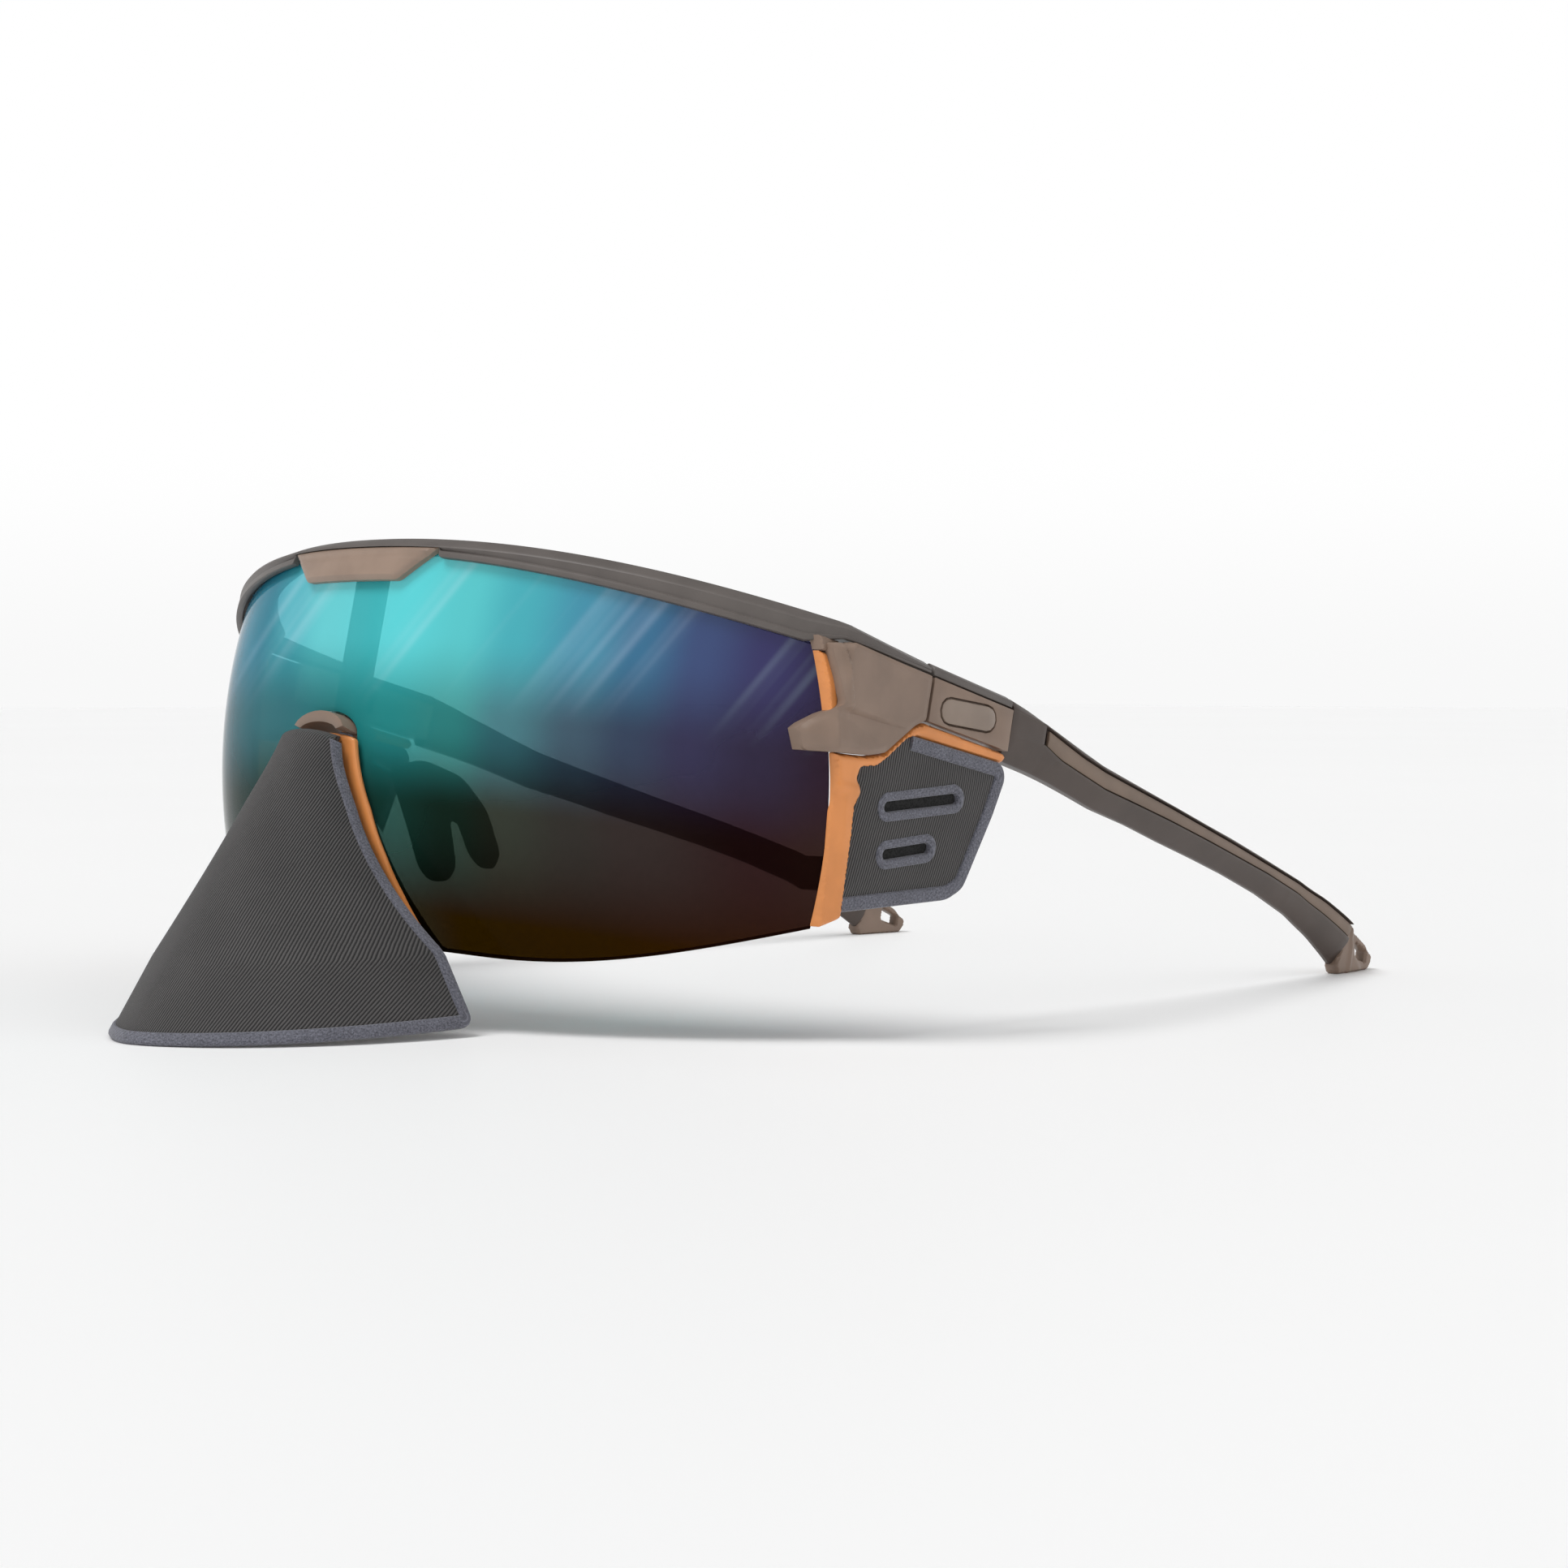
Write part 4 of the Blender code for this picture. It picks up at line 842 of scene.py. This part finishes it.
def make_lug_cover(name, side):
    """The moulded facets of the lug, over the outer face of the CAD end piece."""

    def outer(y, z):
        return min(SIDE_X, lens_x(y, z, CURVE_GAP + 1.2 * MM))

    def heights(y, z, d):
        return -0.45 * MM, lug_relief(y, z, d) * MM

    cover = relief(f"lug_cover_{name}", lug_outline(), 0.3 * MM, on_side(side, outer), heights)
    dress(cover, 0, "front", "taupe")


def make_clip(name, side):
    """The orange clip at the lens's side edge, and the small block between it and the bar."""
    front = EDGE_Y - 1.3 * MM

    def shape(low, high, lead):
        heights = [lerp(low, high, k / 6) for k in range(7)]
        return [(lens_edge_y(z) - lead, z) for z in heights] + [(front, high), (front, low)]

    def clip_heights(y, z, d):
        bulge = 0.25 * MM * math.sin(math.pi * smoothstep(-16.5 * MM, -8.5 * MM, z))
        return lens_side(z) + 0.12 * MM, lens_side(z) + 1.75 * MM + bulge - round_off(d, 0.5 * MM)

    def block_heights(y, z, d):
        return lens_side(z) + 0.12 * MM, lens_side(z) + 2.2 * MM - round_off(d, 0.3 * MM)

    outline = shape(-16.6 * MM, -8.9 * MM, 0.8 * MM)
    clip = relief(f"clip_shown_{name}", outline, 0.25 * MM, on_side(side), clip_heights)
    dress(clip, 0, "front", "orange", f"lens_clip_{name}")
    outline = shape(-8.8 * MM, -6.9 * MM, 0.9 * MM)
    block = relief(f"clip_block_{name}", outline, 0.25 * MM, on_side(side), block_heights)
    dress(block, 0, "front", "taupe")


# The arm's top, its groove's edges and its foot, at shares of its length
ARM_HEIGHTS = (
    (0.0, (-7.3, -9.0, -12.2, -15.9)), (0.05, (-8.1, -9.3, -12.2, -16.2)),
    (0.082, (-8.8, -9.5, -12.2, -16.4)), (0.125, (-9.6, -10.5, -13.6, -16.8)),
    (0.18, (-10.7, -11.7, -14.5, -17.5)), (0.245, (-11.9, -12.7, -15.5, -18.4)),
    (0.34, (-12.9, -13.6, -16.1, -19.0)), (0.43, (-13.8, -14.4, -16.7, -19.8)),
    (0.53, (-14.8, -15.4, -17.5, -20.5)), (0.63, (-15.7, -16.4, -18.4, -21.3)),
    (0.74, (-16.9, -17.6, -19.4, -22.5)), (0.85, (-18.3, -18.8, -20.8, -24.3)),
    (0.92, (-19.7, -20.1, -22.5, -26.4)), (1.0, (-22.1, -22.6, -25.0, -29.8)),
)  # fmt: skip
TIP_LEAN = (1.6 * MM, 4.3 * MM)  # how far behind ARM_END the arm ends, at its foot and its top


def arm_x(y):
    share = (y - ARM_START) / (ARM_END - ARM_START)
    return SIDE_X - 0.2 * MM - 11.4 * MM * max(0.0, share) ** 1.3


def arm_ring(share, side):
    """A ring of the temple arm, and the corners of its inlay there."""
    y = lerp(ARM_START, ARM_END, share)
    x = arm_x(y) / MM
    thick = lerp(5.0, 3.4, min(1.0, share * 3))
    top, groove_top, groove_low, low = along(ARM_HEIGHTS, share)
    depth = lerp(0.02, 0.9, smoothstep(0.078, 0.09, share))
    late = smoothstep(0.86, 1.0, share)
    inner, soft = x - thick, 0.22 * thick
    section = (
        (inner + soft, top), (x - 1.2, top), (x - 0.1, lerp(top, groove_top, 0.7)), (x, groove_top),
        (x - depth, groove_top - 0.05), (x - depth, groove_low + 0.05), (x, groove_low),
        (x, lerp(groove_low, low, 0.14)), (x - 1.6, low + 0.3), (x - 2.0, low),
        (inner + soft, low), (inner, lerp(low, top, 0.25)), (inner, lerp(low, top, 0.75)),
    )  # fmt: skip
    floor = x - depth + 0.15
    inlay = (
        (floor, groove_top - 0.25), (floor + 0.5, groove_top - 0.3),
        (floor + 0.62, lerp(groove_top, groove_low, 0.5)),
        (floor + 0.5, groove_low + 0.3), (floor, groove_low + 0.25),
    )  # fmt: skip

    def placed(across, up):
        lean = late * lerp(*TIP_LEAN, (up - low) / (top - low))
        return (side * across * MM, y + lean, up * MM)

    return [[placed(*point) for point in part] for part in (section, inlay)]


def make_arm(name, side):
    """The long arm, and the paler inlay in its outer groove."""
    shares = [k / 70 for k in range(71)]
    shares = sorted(set(shares + [0.078, 0.082, 0.09, 0.094]))
    body = f"temple_{name}"
    arm = loft(f"arm_shown_{name}", [arm_ring(s, side)[0] for s in shares])
    dress(arm, 0.3 * MM, body, "arm", f"temple_arm_{name}")
    rings = [arm_ring(s, side)[1] for s in shares if s > 0.088]
    inlay = loft(f"inlay_shown_{name}", rings)
    dress(inlay, 0.1 * MM, body, "inlay", f"arm_inlay_{name}")


def make_tip(name, side):
    """The tip: a cap with a ridge where it starts, a slanted face and a window."""
    outline = back_from(
        TIP_START,
        (1.1, -30.0), (3.8, -22.5), (4.9, -22.7), (5.5, -23.4), (10.2, -24.9), (11.5, -25.9),
        (12.9, -26.4), (12.9, -27.6),
    )  # fmt: skip
    for back in (12.1, 2.2):
        outline.append((TIP_START + back * MM, floor_z(TIP_START + back * MM)))
    window = back_from(TIP_START, (7.0, -25.2), (10.8, -26.1), (10.8, -27.9), (7.0, -27.4))
    base = arm_x(ARM_END) - 0.3 * MM

    def outer(y, z):
        return base - 0.1 * (y - TIP_START)

    def heights(y, z, d):
        ridge = 0.35 * MM * math.exp(-(((y - TIP_START - 5.0 * MM) / (0.5 * MM)) ** 2))
        facet = 0.3 * MM * smoothstep(-1.0, 1.0, (z + 26.2 * MM + 0.9 * (y - TIP_START - 6 * MM)) / MM)
        edge = round_off(d, 0.5 * MM)
        return edge - 2.7 * MM, ridge - facet - edge

    outline, window = rounded(outline, 0.4 * MM, 3), rounded(window, 0.3 * MM, 3)
    place = on_side(side, outer)
    tip = relief(f"tip_shown_{name}", outline, 0.3 * MM, place, heights, [window])
    dress(tip, 0, f"temple_{name}", "taupe", f"temple_tip_{name}")


# ---- side shields


PANEL_EDGE = back_from(
    EDGE_Y,
    (13.0, -17.1), (31.3, -17.1), (32.2, -18.6), (27.9, -34.7), (25.5, -36.5), (5.9, -41.6),
)  # fmt: skip
SLOTS = (
    ("upper", back_from(EDGE_Y, (10.4, -26.9), (22.7, -23.4))),
    ("lower", back_from(EDGE_Y, (12.0, -33.1), (19.2, -30.9))),
)


def inset(points, width):
    """The chain of (y, z) points moved to its right-hand side by width."""
    moved = []
    for k, (y, z) in enumerate(points):
        near = points[max(0, k - 1) : k + 2]
        runs = [Vector(b) - Vector(a) for a, b in zip(near, near[1:])]
        normals = [Vector((run.y, -run.x)).normalized() for run in runs if run.length]
        bisector = sum(normals, Vector((0, 0))).normalized()
        reach = width / bisector.dot(normals[0])
        moved.append((y + bisector.x * reach, z + bisector.y * reach))
    return moved


def make_side_frame(name, side):
    """The orange frame: a rounded leg along the lens's edge and a rail under the temple."""
    leads = (-44.6, -0.3), (-35, -0.2), (-29.4, -0.2), (-28.2, 0.05), (-25, 0.05), (-21.8, -0.1)
    front = [(lens_edge_y(up * MM) + back * MM, up * MM) for up, back in leads]
    outline = front + back_from(
        EDGE_Y, (2.5, -21.4), (5.0, -21.05), (8.2, -20.1), (13.1, -15.3), (15.2, -14.4)
    )
    rail_end = EDGE_Y + 15.2 * MM + BLOCK_LENGTH
    outline += back_from(rail_end, (-0.6, -15.1), (0.1, -15.8), (-0.6, -16.7))
    outline += back_from(
        EDGE_Y,
        (14.4, -16.6), (12.4, -17.2), (9.4, -20.3), (7.2, -22.2), (4.3, -22.9), (3.9, -24.4),
        (4.6, -25.0), (4.8, -26.5), (4.3, -27.9), (4.9, -31.8), (6.2, -42.7),
    )  # fmt: skip

    def inner(y, z):
        clear = lens_side(z) + 0.12 * MM
        return lerp(clear, shield_x(z), smoothstep(0.2 * MM, 1.2 * MM, y - lens_edge_y(z)))

    def heights(y, z, d):
        back = (y - lens_edge_y(z)) / MM
        lower = smoothstep(-26.4 * MM, -27.2 * MM, z)
        facet = 0.75 * MM * lower * max(0.0, 1 - back / 2.2)
        bulge = 0.45 * MM * math.exp(-((((z + 26.1 * MM) / (0.8 * MM)) ** 2)))
        soft = lerp(1.0, 0.35, lower) * MM
        edge = round_off(d, soft)
        low = inner(y, z)
        return low, shield_x(z) + 1.55 * MM - edge - facet + bulge

    outline = rounded(outline, 0.35 * MM, 3)
    made = relief(f"side_frame_shown_{name}", outline, 0.33 * MM, on_side(side), heights)
    dress(made, 0, f"side_shield_{name}", "orange", f"side_frame_{name}")


def panel_x(y, z):
    return shield_x(z)


def panel_edges(side, loops, rise):
    """Chains of (y, z) points, put this far out from the panel's inner face."""
    place = on_side(side, panel_x)
    return [[place(y, z, rise) for y, z in loop] for loop in loops]


def make_side_fabric(name, side):
    """The side panel: taut cloth that bulges a little, set back in its slots and painted near black
    there as shade.
    """
    edge = inset(PANEL_EDGE, SIDE_BINDING - 0.3 * MM)
    front = back_from(
        EDGE_Y,
        (5.0, -41.5), (3.2, -31.8), (3.0, -28.4), (3.0, -24.4), (3.8, -22.1), (6.8, -21.5),
        (8.8, -20.0), (12.5, -16.8),
    )  # fmt: skip
    (y1, z1), (y2, z2) = edge[-2:]
    corner_y = front[0][0]
    corner = (corner_y, lerp(z1, z2, (corner_y - y1) / (y2 - y1)))
    outline = edge[:-1] + [corner] + front
    slots = [stadium(a, b, SLOT_HALF + 0.5 * RING_WIDTH, 8) for _, (a, b) in SLOTS]

    def heights(y, z, d):
        bulge = 0.35 * MM * (1 - math.exp(-d / (3 * MM)))
        wave = 0.06 * MM * math.sin(y / (2.3 * MM)) * math.sin(z / (3.1 * MM))
        middle = BINDING_THICK / 2 + (bulge + wave) * min(1.0, d / (1.5 * MM))
        middle -= 0.5 * MM * any(inside((y, z), slot) for slot in slots)
        return middle - FABRIC_THICK / 2, middle + FABRIC_THICK / 2

    fabric = relief(f"side_cloth_{name}", outline, 0.55 * MM, on_side(side, panel_x), heights)
    dress(fabric, 0, f"side_shield_{name}", "fabric", f"side_fabric_{name}")
    # The faces in the slots get near-black painted shade, in place of open holes
    fabric.data.materials.append(MATERIALS["slot_shade"])
    layer = fabric.data.uv_layers[0].data
    for face in fabric.data.polygons:
        middle = sum((layer[k].uv for k in face.loop_indices), Vector((0, 0))) * MM
        middle /= len(face.loop_indices)
        if any(inside(middle, slot) for slot in slots):
            face.material_index = 1
    return fabric


def make_side_binding(name, side):
    """The tape round the panel's free edges."""
    chain = spaced(soft_corners(PANEL_EDGE, 1.0 * MM), 0.5 * MM)
    loops = [inset(chain, width) for width in (-0.5 * MM, SIDE_BINDING)]
    edges = panel_edges(side, loops, BINDING_THICK / 2)
    made = tape(f"side_tape_{name}", *edges, BINDING_THICK)
    return dress(made, 0, f"side_shield_{name}", "binding", f"side_binding_{name}")


def make_slot_rings(name, side):
    """The sewn oval round each slot."""
    rings = []
    for slot, (start, end) in SLOTS:
        loops = [stadium(start, end, SLOT_HALF + RING_WIDTH * k, 14) for k in (1, 0)]
        edges = panel_edges(side, loops, BINDING_THICK / 2 + 0.2 * MM)
        ring = tape(f"slot_tape_{slot}_{name}", *edges, BINDING_THICK, closed=True)
        node_name = f"slot_ring_{slot}_{name}"
        rings.append(dress(ring, 0, f"side_shield_{name}", "binding", node_name))
    return rings


# ---- nose shield


def nose_rear_edge(t):
    if t <= NOSE_CORNER:
        z = lerp(NOSE_TOP[1] - 0.8 * MM, LENS_LOW_Z - 0.5 * MM, t / NOSE_CORNER)
        x = notch_half(z) - 0.4 * MM + 1.1 * MM * smoothstep(-30 * MM, -38 * MM, z)
        return Vector((x, lens_y(x, z, 2.35 * MM), z))
    corner = nose_rear_edge(NOSE_CORNER)
    foot = Vector((NOSE_FOOT[0], NOSE_FOOT[1], floor_z(NOSE_FOOT[1]) + 1.3 * MM))
    return corner.lerp(foot, (t - NOSE_CORNER) / (1 - NOSE_CORNER))


def nose_point(t, q):
    """The nose shield's middle surface: t runs down, q across from -1 to 1."""
    rear = nose_rear_edge(t)
    front_y = lerp(NOSE_TOP[0], NOSE_FRONT[0], t)
    front_z = lerp(NOSE_TOP[1], floor_z(NOSE_FRONT[0]), t)
    angle = abs(q) * math.pi / 2
    back = 1 - math.cos(angle)
    x = rear.x * math.sin(angle) ** lerp(1.0, 1.2, t)
    return Vector((math.copysign(x, q), lerp(front_y, rear.y, back), lerp(front_z, rear.z, back)))


def nose_down(q):
    """Share of the height that is one binding width, at q."""
    return 0.1 * NOSE_BINDING / (nose_point(1.0, q) - nose_point(0.9, q)).length


def nose_across(t):
    return 0.1 * NOSE_BINDING / (nose_point(t, 1.0) - nose_point(t, 0.9)).length


NOSE_HEAD = 0.006  # share of the height at which the cloth turns in under the bridge
CONE_TURN = math.radians(42)  # half the angle that the cloth's flat pattern spans


def make_nose_cloth():
    """The nose shield's cloth, which runs in under its binding."""
    columns, rows, hood = 81, 57, 8
    tuck = 0.75
    points, maps = [], []
    for i in range(columns):
        q = lerp(-1, 1, i / (columns - 1))
        for j in range(rows):
            share = max(0, j - hood) / (rows - 1 - hood)
            t = lerp(NOSE_HEAD, 1 - tuck * nose_down(q), share)
            place = nose_point(t, q * (1 - tuck * nose_across(t)))
            turn = math.pi / 2 * max(0, hood - j) / hood
            place.x *= 1 - 0.3 * (1 - math.cos(turn))
            place.y += 2.6 * MM * (1 - math.cos(turn))
            place.z += 1.0 * MM * math.sin(turn)
            points.append(place)
            reach = 11 * MM + 49 * MM * t + 1.5 * MM * (share == 0) * (j - hood) / hood
            turn = CONE_TURN * q
            maps.append((reach * math.sin(turn) / MM, -reach * math.cos(turn) / MM))
    faces = grid_faces(columns, rows)
    cloth = add_object("nose_cloth", points, faces, maps)
    thicken(cloth, FABRIC_THICK, 0)
    return dress(cloth, 0, "nose_shield", "fabric", "nose_fabric")


def nose_tape_edges():
    """The outer and inner edges of the nose shield's binding, as shares (t, q)."""
    inner_t = 1 - nose_down(1.0)
    rear = [lerp(NOSE_HEAD - 0.01, inner_t, k / 44) for k in range(45)]
    outer = [(t, 1.0) for t in rear]
    inner = [(t, 1 - nose_across(t)) for t in rear]
    corner = inner[-1]
    side_q = corner[1]
    for k in range(1, 6):
        turn = math.pi / 2 * k / 6
        outer.append((inner_t + (1 - inner_t) * math.sin(turn), side_q + (1 - side_q) * math.cos(turn)))
        inner.append(corner)
    for k in range(91):
        q = lerp(side_q, -side_q, k / 90)
        outer.append((1.0, q))
        inner.append((1 - nose_down(abs(q)) if abs(q) < side_q else inner_t, q))
    for edge in (outer, inner):
        edge += [(t, -q) for t, q in reversed(edge[: len(rear) + 5])]
    return outer, inner


def make_nose_binding():
    edges = [[nose_point(*share) for share in edge] for edge in nose_tape_edges()]
    made = tape("nose_tape", *edges, BINDING_THICK)
    for vert in made.data.vertices:
        vert.co.z = max(vert.co.z, 0.0)
    return dress(made, 0, "nose_shield", "binding", "nose_binding")


# How far the orange band reaches past the notch's edge: (depth, (reach,)) in millimetres
BAND_SPREAD = ((27, (1.0,)), (32, (1.5,)), (37, (2.1,)), (43, (1.6,)), (48, (0.6,)), (53, (-0.9,)))


def make_nose_frame():
    """The orange band that clips on round the notch."""
    lowest, highest = LENS_LOW_Z + 2.5 * MM, NOSE_TOP[1] + 0.1 * MM
    crown = NOSE_TOP[1] + 1.2 * MM
    heights = [lerp(lowest, highest, k / 40) for k in range(41)]
    outer = [(notch_half(z) + along(BAND_SPREAD, -z / MM)[0] * MM, z) for z in heights]
    inner = [(notch_half(z) - 2.4 * MM, z) for z in heights]
    for k in range(1, 9):
        turn = math.pi / 2 * k / 8
        c, s = math.cos(turn), math.sin(turn)
        outer.append((outer[40][0] * c, lerp(highest, crown, s)))
        inner.append((inner[40][0] * c, lerp(highest, crown, s) - 2.0 * MM * s))
    rise = CURVE_GAP + 0.5 * MM
    for edge in (outer, inner):
        edge += [(-x, z) for x, z in reversed(edge[:-1])]
    edges = [[(x, lens_y(x, z, rise), z) for x, z in edge] for edge in (outer, inner)]
    made = tape("nose_frame_shown", *edges, 1.0 * MM)
    dress(made, 0, "nose_shield", "orange", "nose_frame")


# ---- nose pads


def make_pad(name, side):
    """A soft two-finger pad, thickest in its middle."""
    rear = LENS_THICK + 3.0 * MM
    outline = back_from(
        rear,
        (0.6, -30.6), (5.4, -28.4), (11.4, -29.6), (15.4, -33.5), (17.7, -39.4),
        (16.8, -41.7), (14.8, -41.9), (13.2, -40.4), (11.2, -36.2), (9.8, -36.2),
        (11.0, -42.4), (10.0, -44.6), (7.4, -45.2), (5.6, -43.6), (4.0, -39.0),
    )  # fmt: skip
    outline = rounded(outline, 1.4 * MM)

    def middle(y, z):
        return NOTCH_HALF + 3.0 * MM + 0.22 * (y - rear - 30.0 * MM - z)

    def heights(y, z, d):
        half = 0.25 * MM + 0.95 * MM * math.sqrt(max(0.0, 1 - (1 - min(1.0, d / (1.7 * MM))) ** 2))
        return -half, half

    pad = relief(f"pad_shown_{name}", outline, 0.45 * MM, on_side(side, middle), heights)
    dress(pad, 0, f"pad_{name}", "pad", f"nose_pad_{name}")


# ---- CAD nodes that show

SHOWN_NODES = (
    ("nose_bridge", "taupe", 0.35),
    ("end_piece", "taupe", 0.25),
    ("hinge_pin", "steel", 0.12),
    ("temple_front", "taupe", 0.22),
    ("temple_badge", "badge", 0.12),
    ("temple_strip", "bar", 0.2),
    ("nose_pad_core", "steel", 0.1),
)


def finish_cad_nodes():
    """Gives the CAD nodes that stay shown their material and rounded edges."""
    for stem, slot, width in SHOWN_NODES:
        for name, obj in frame["nodes"].items():
            if name == stem or name in (f"{stem}_left", f"{stem}_right"):
                obj.data.materials.clear()
                obj.data.materials.append(MATERIALS[slot])
                soften(obj, width * MM)


# ---- assembly


def make_side(name, side):
    make_lug_cover(name, side)
    make_clip(name, side)
    make_arm(name, side)
    make_tip(name, side)
    make_side_frame(name, side)
    cloth = make_side_fabric(name, side)
    tape_piece = make_side_binding(name, side)
    rings = make_slot_rings(name, side)
    make_pad(name, side)


def make_nose():
    make_nose_frame()
    cloth = make_nose_cloth()
    tape_piece = make_nose_binding()


# ---- stage


def add_sun(name, towards, spread, strength):
    """A wide soft light from a direction, the same all over the floor."""
    light = bpy.data.lights.new(name, "SUN")
    light.angle = math.radians(spread)
    light.energy = strength
    obj = place_in_scene(name, light)
    obj.rotation_euler = Vector(towards).to_track_quat("Z", "Y").to_euler()


def make_stage():
    """A pale floor, an even white surround and two soft lights."""
    mesh = bpy.data.meshes.new("floor")
    corners = [(-5, -5, 0), (5, -5, 0), (5, 5, 0), (-5, 5, 0)]
    mesh.from_pydata(corners, [], [(0, 1, 2, 3)])
    looks = {"Roughness": 0.6, "Specular IOR Level": 0.2}
    material, tree, shader = new_material("floor_paint", looks)
    cloud = noise(tree, coordinates(tree, "Object"), 3)
    paint(tree, shader, cloud, (0.3, (0.975,) * 3), (0.7, (0.985,) * 3))
    mesh.materials.append(material)
    place_in_scene("floor", mesh)
    make_world()
    add_sun("key", (-0.15, -0.55, 1.0), 30, 1.85)
    add_sun("fill", (0.8, 0.2, 1.0), 60, 0.55)


def make_world():
    """An even surround, white near the horizon and softer overhead."""
    world = bpy.data.worlds.new("studio")
    bpy.context.scene.world = world
    world.use_nodes = True
    tree = world.node_tree
    height = node(tree, "ShaderNodeSeparateXYZ", {0: coordinates(tree, "Generated")}).outputs["Z"]
    stops = ((0.0, 0.94), (0.08, 1.0), (0.24, 1.0), (0.40, 0.26))
    tone = ramp(tree, height, [(place, (grey,) * 3) for place, grey in stops])
    tree.links.new(tone, tree.nodes["Background"].inputs["Color"])


# Fitted to the photo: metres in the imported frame, degrees, and millimetres on a 36 mm sensor
CAMERA_PLACE = (0.3465, -0.3190, 0.0477)
CAMERA_TURN = 45.61
CAMERA_TILT = 1.89
CAMERA_LENS = 69.3


def make_camera():
    """The photograph's camera: level, a little above the table, from the front left."""
    camera = bpy.data.cameras.new("camera")
    camera.lens = CAMERA_LENS
    camera.sensor_width = 36.0
    camera.clip_start = 0.01
    obj = place_in_scene("camera", camera)
    obj.location = CAMERA_PLACE
    turn, tilt = math.radians(CAMERA_TURN), math.radians(CAMERA_TILT)
    level = math.cos(tilt)
    back = Vector((math.sin(turn) * level, -math.cos(turn) * level, math.sin(tilt)))
    obj.rotation_euler = back.to_track_quat("Z", "Y").to_euler()
    bpy.context.scene.camera = obj


bpy.context.scene.view_settings.view_transform = "Standard"
make_lens()
make_bar()
make_insert()
make_nose()
for side_name, side_sign in SIDES:
    make_side(side_name, side_sign)
finish_cad_nodes()
make_stage()
make_camera()
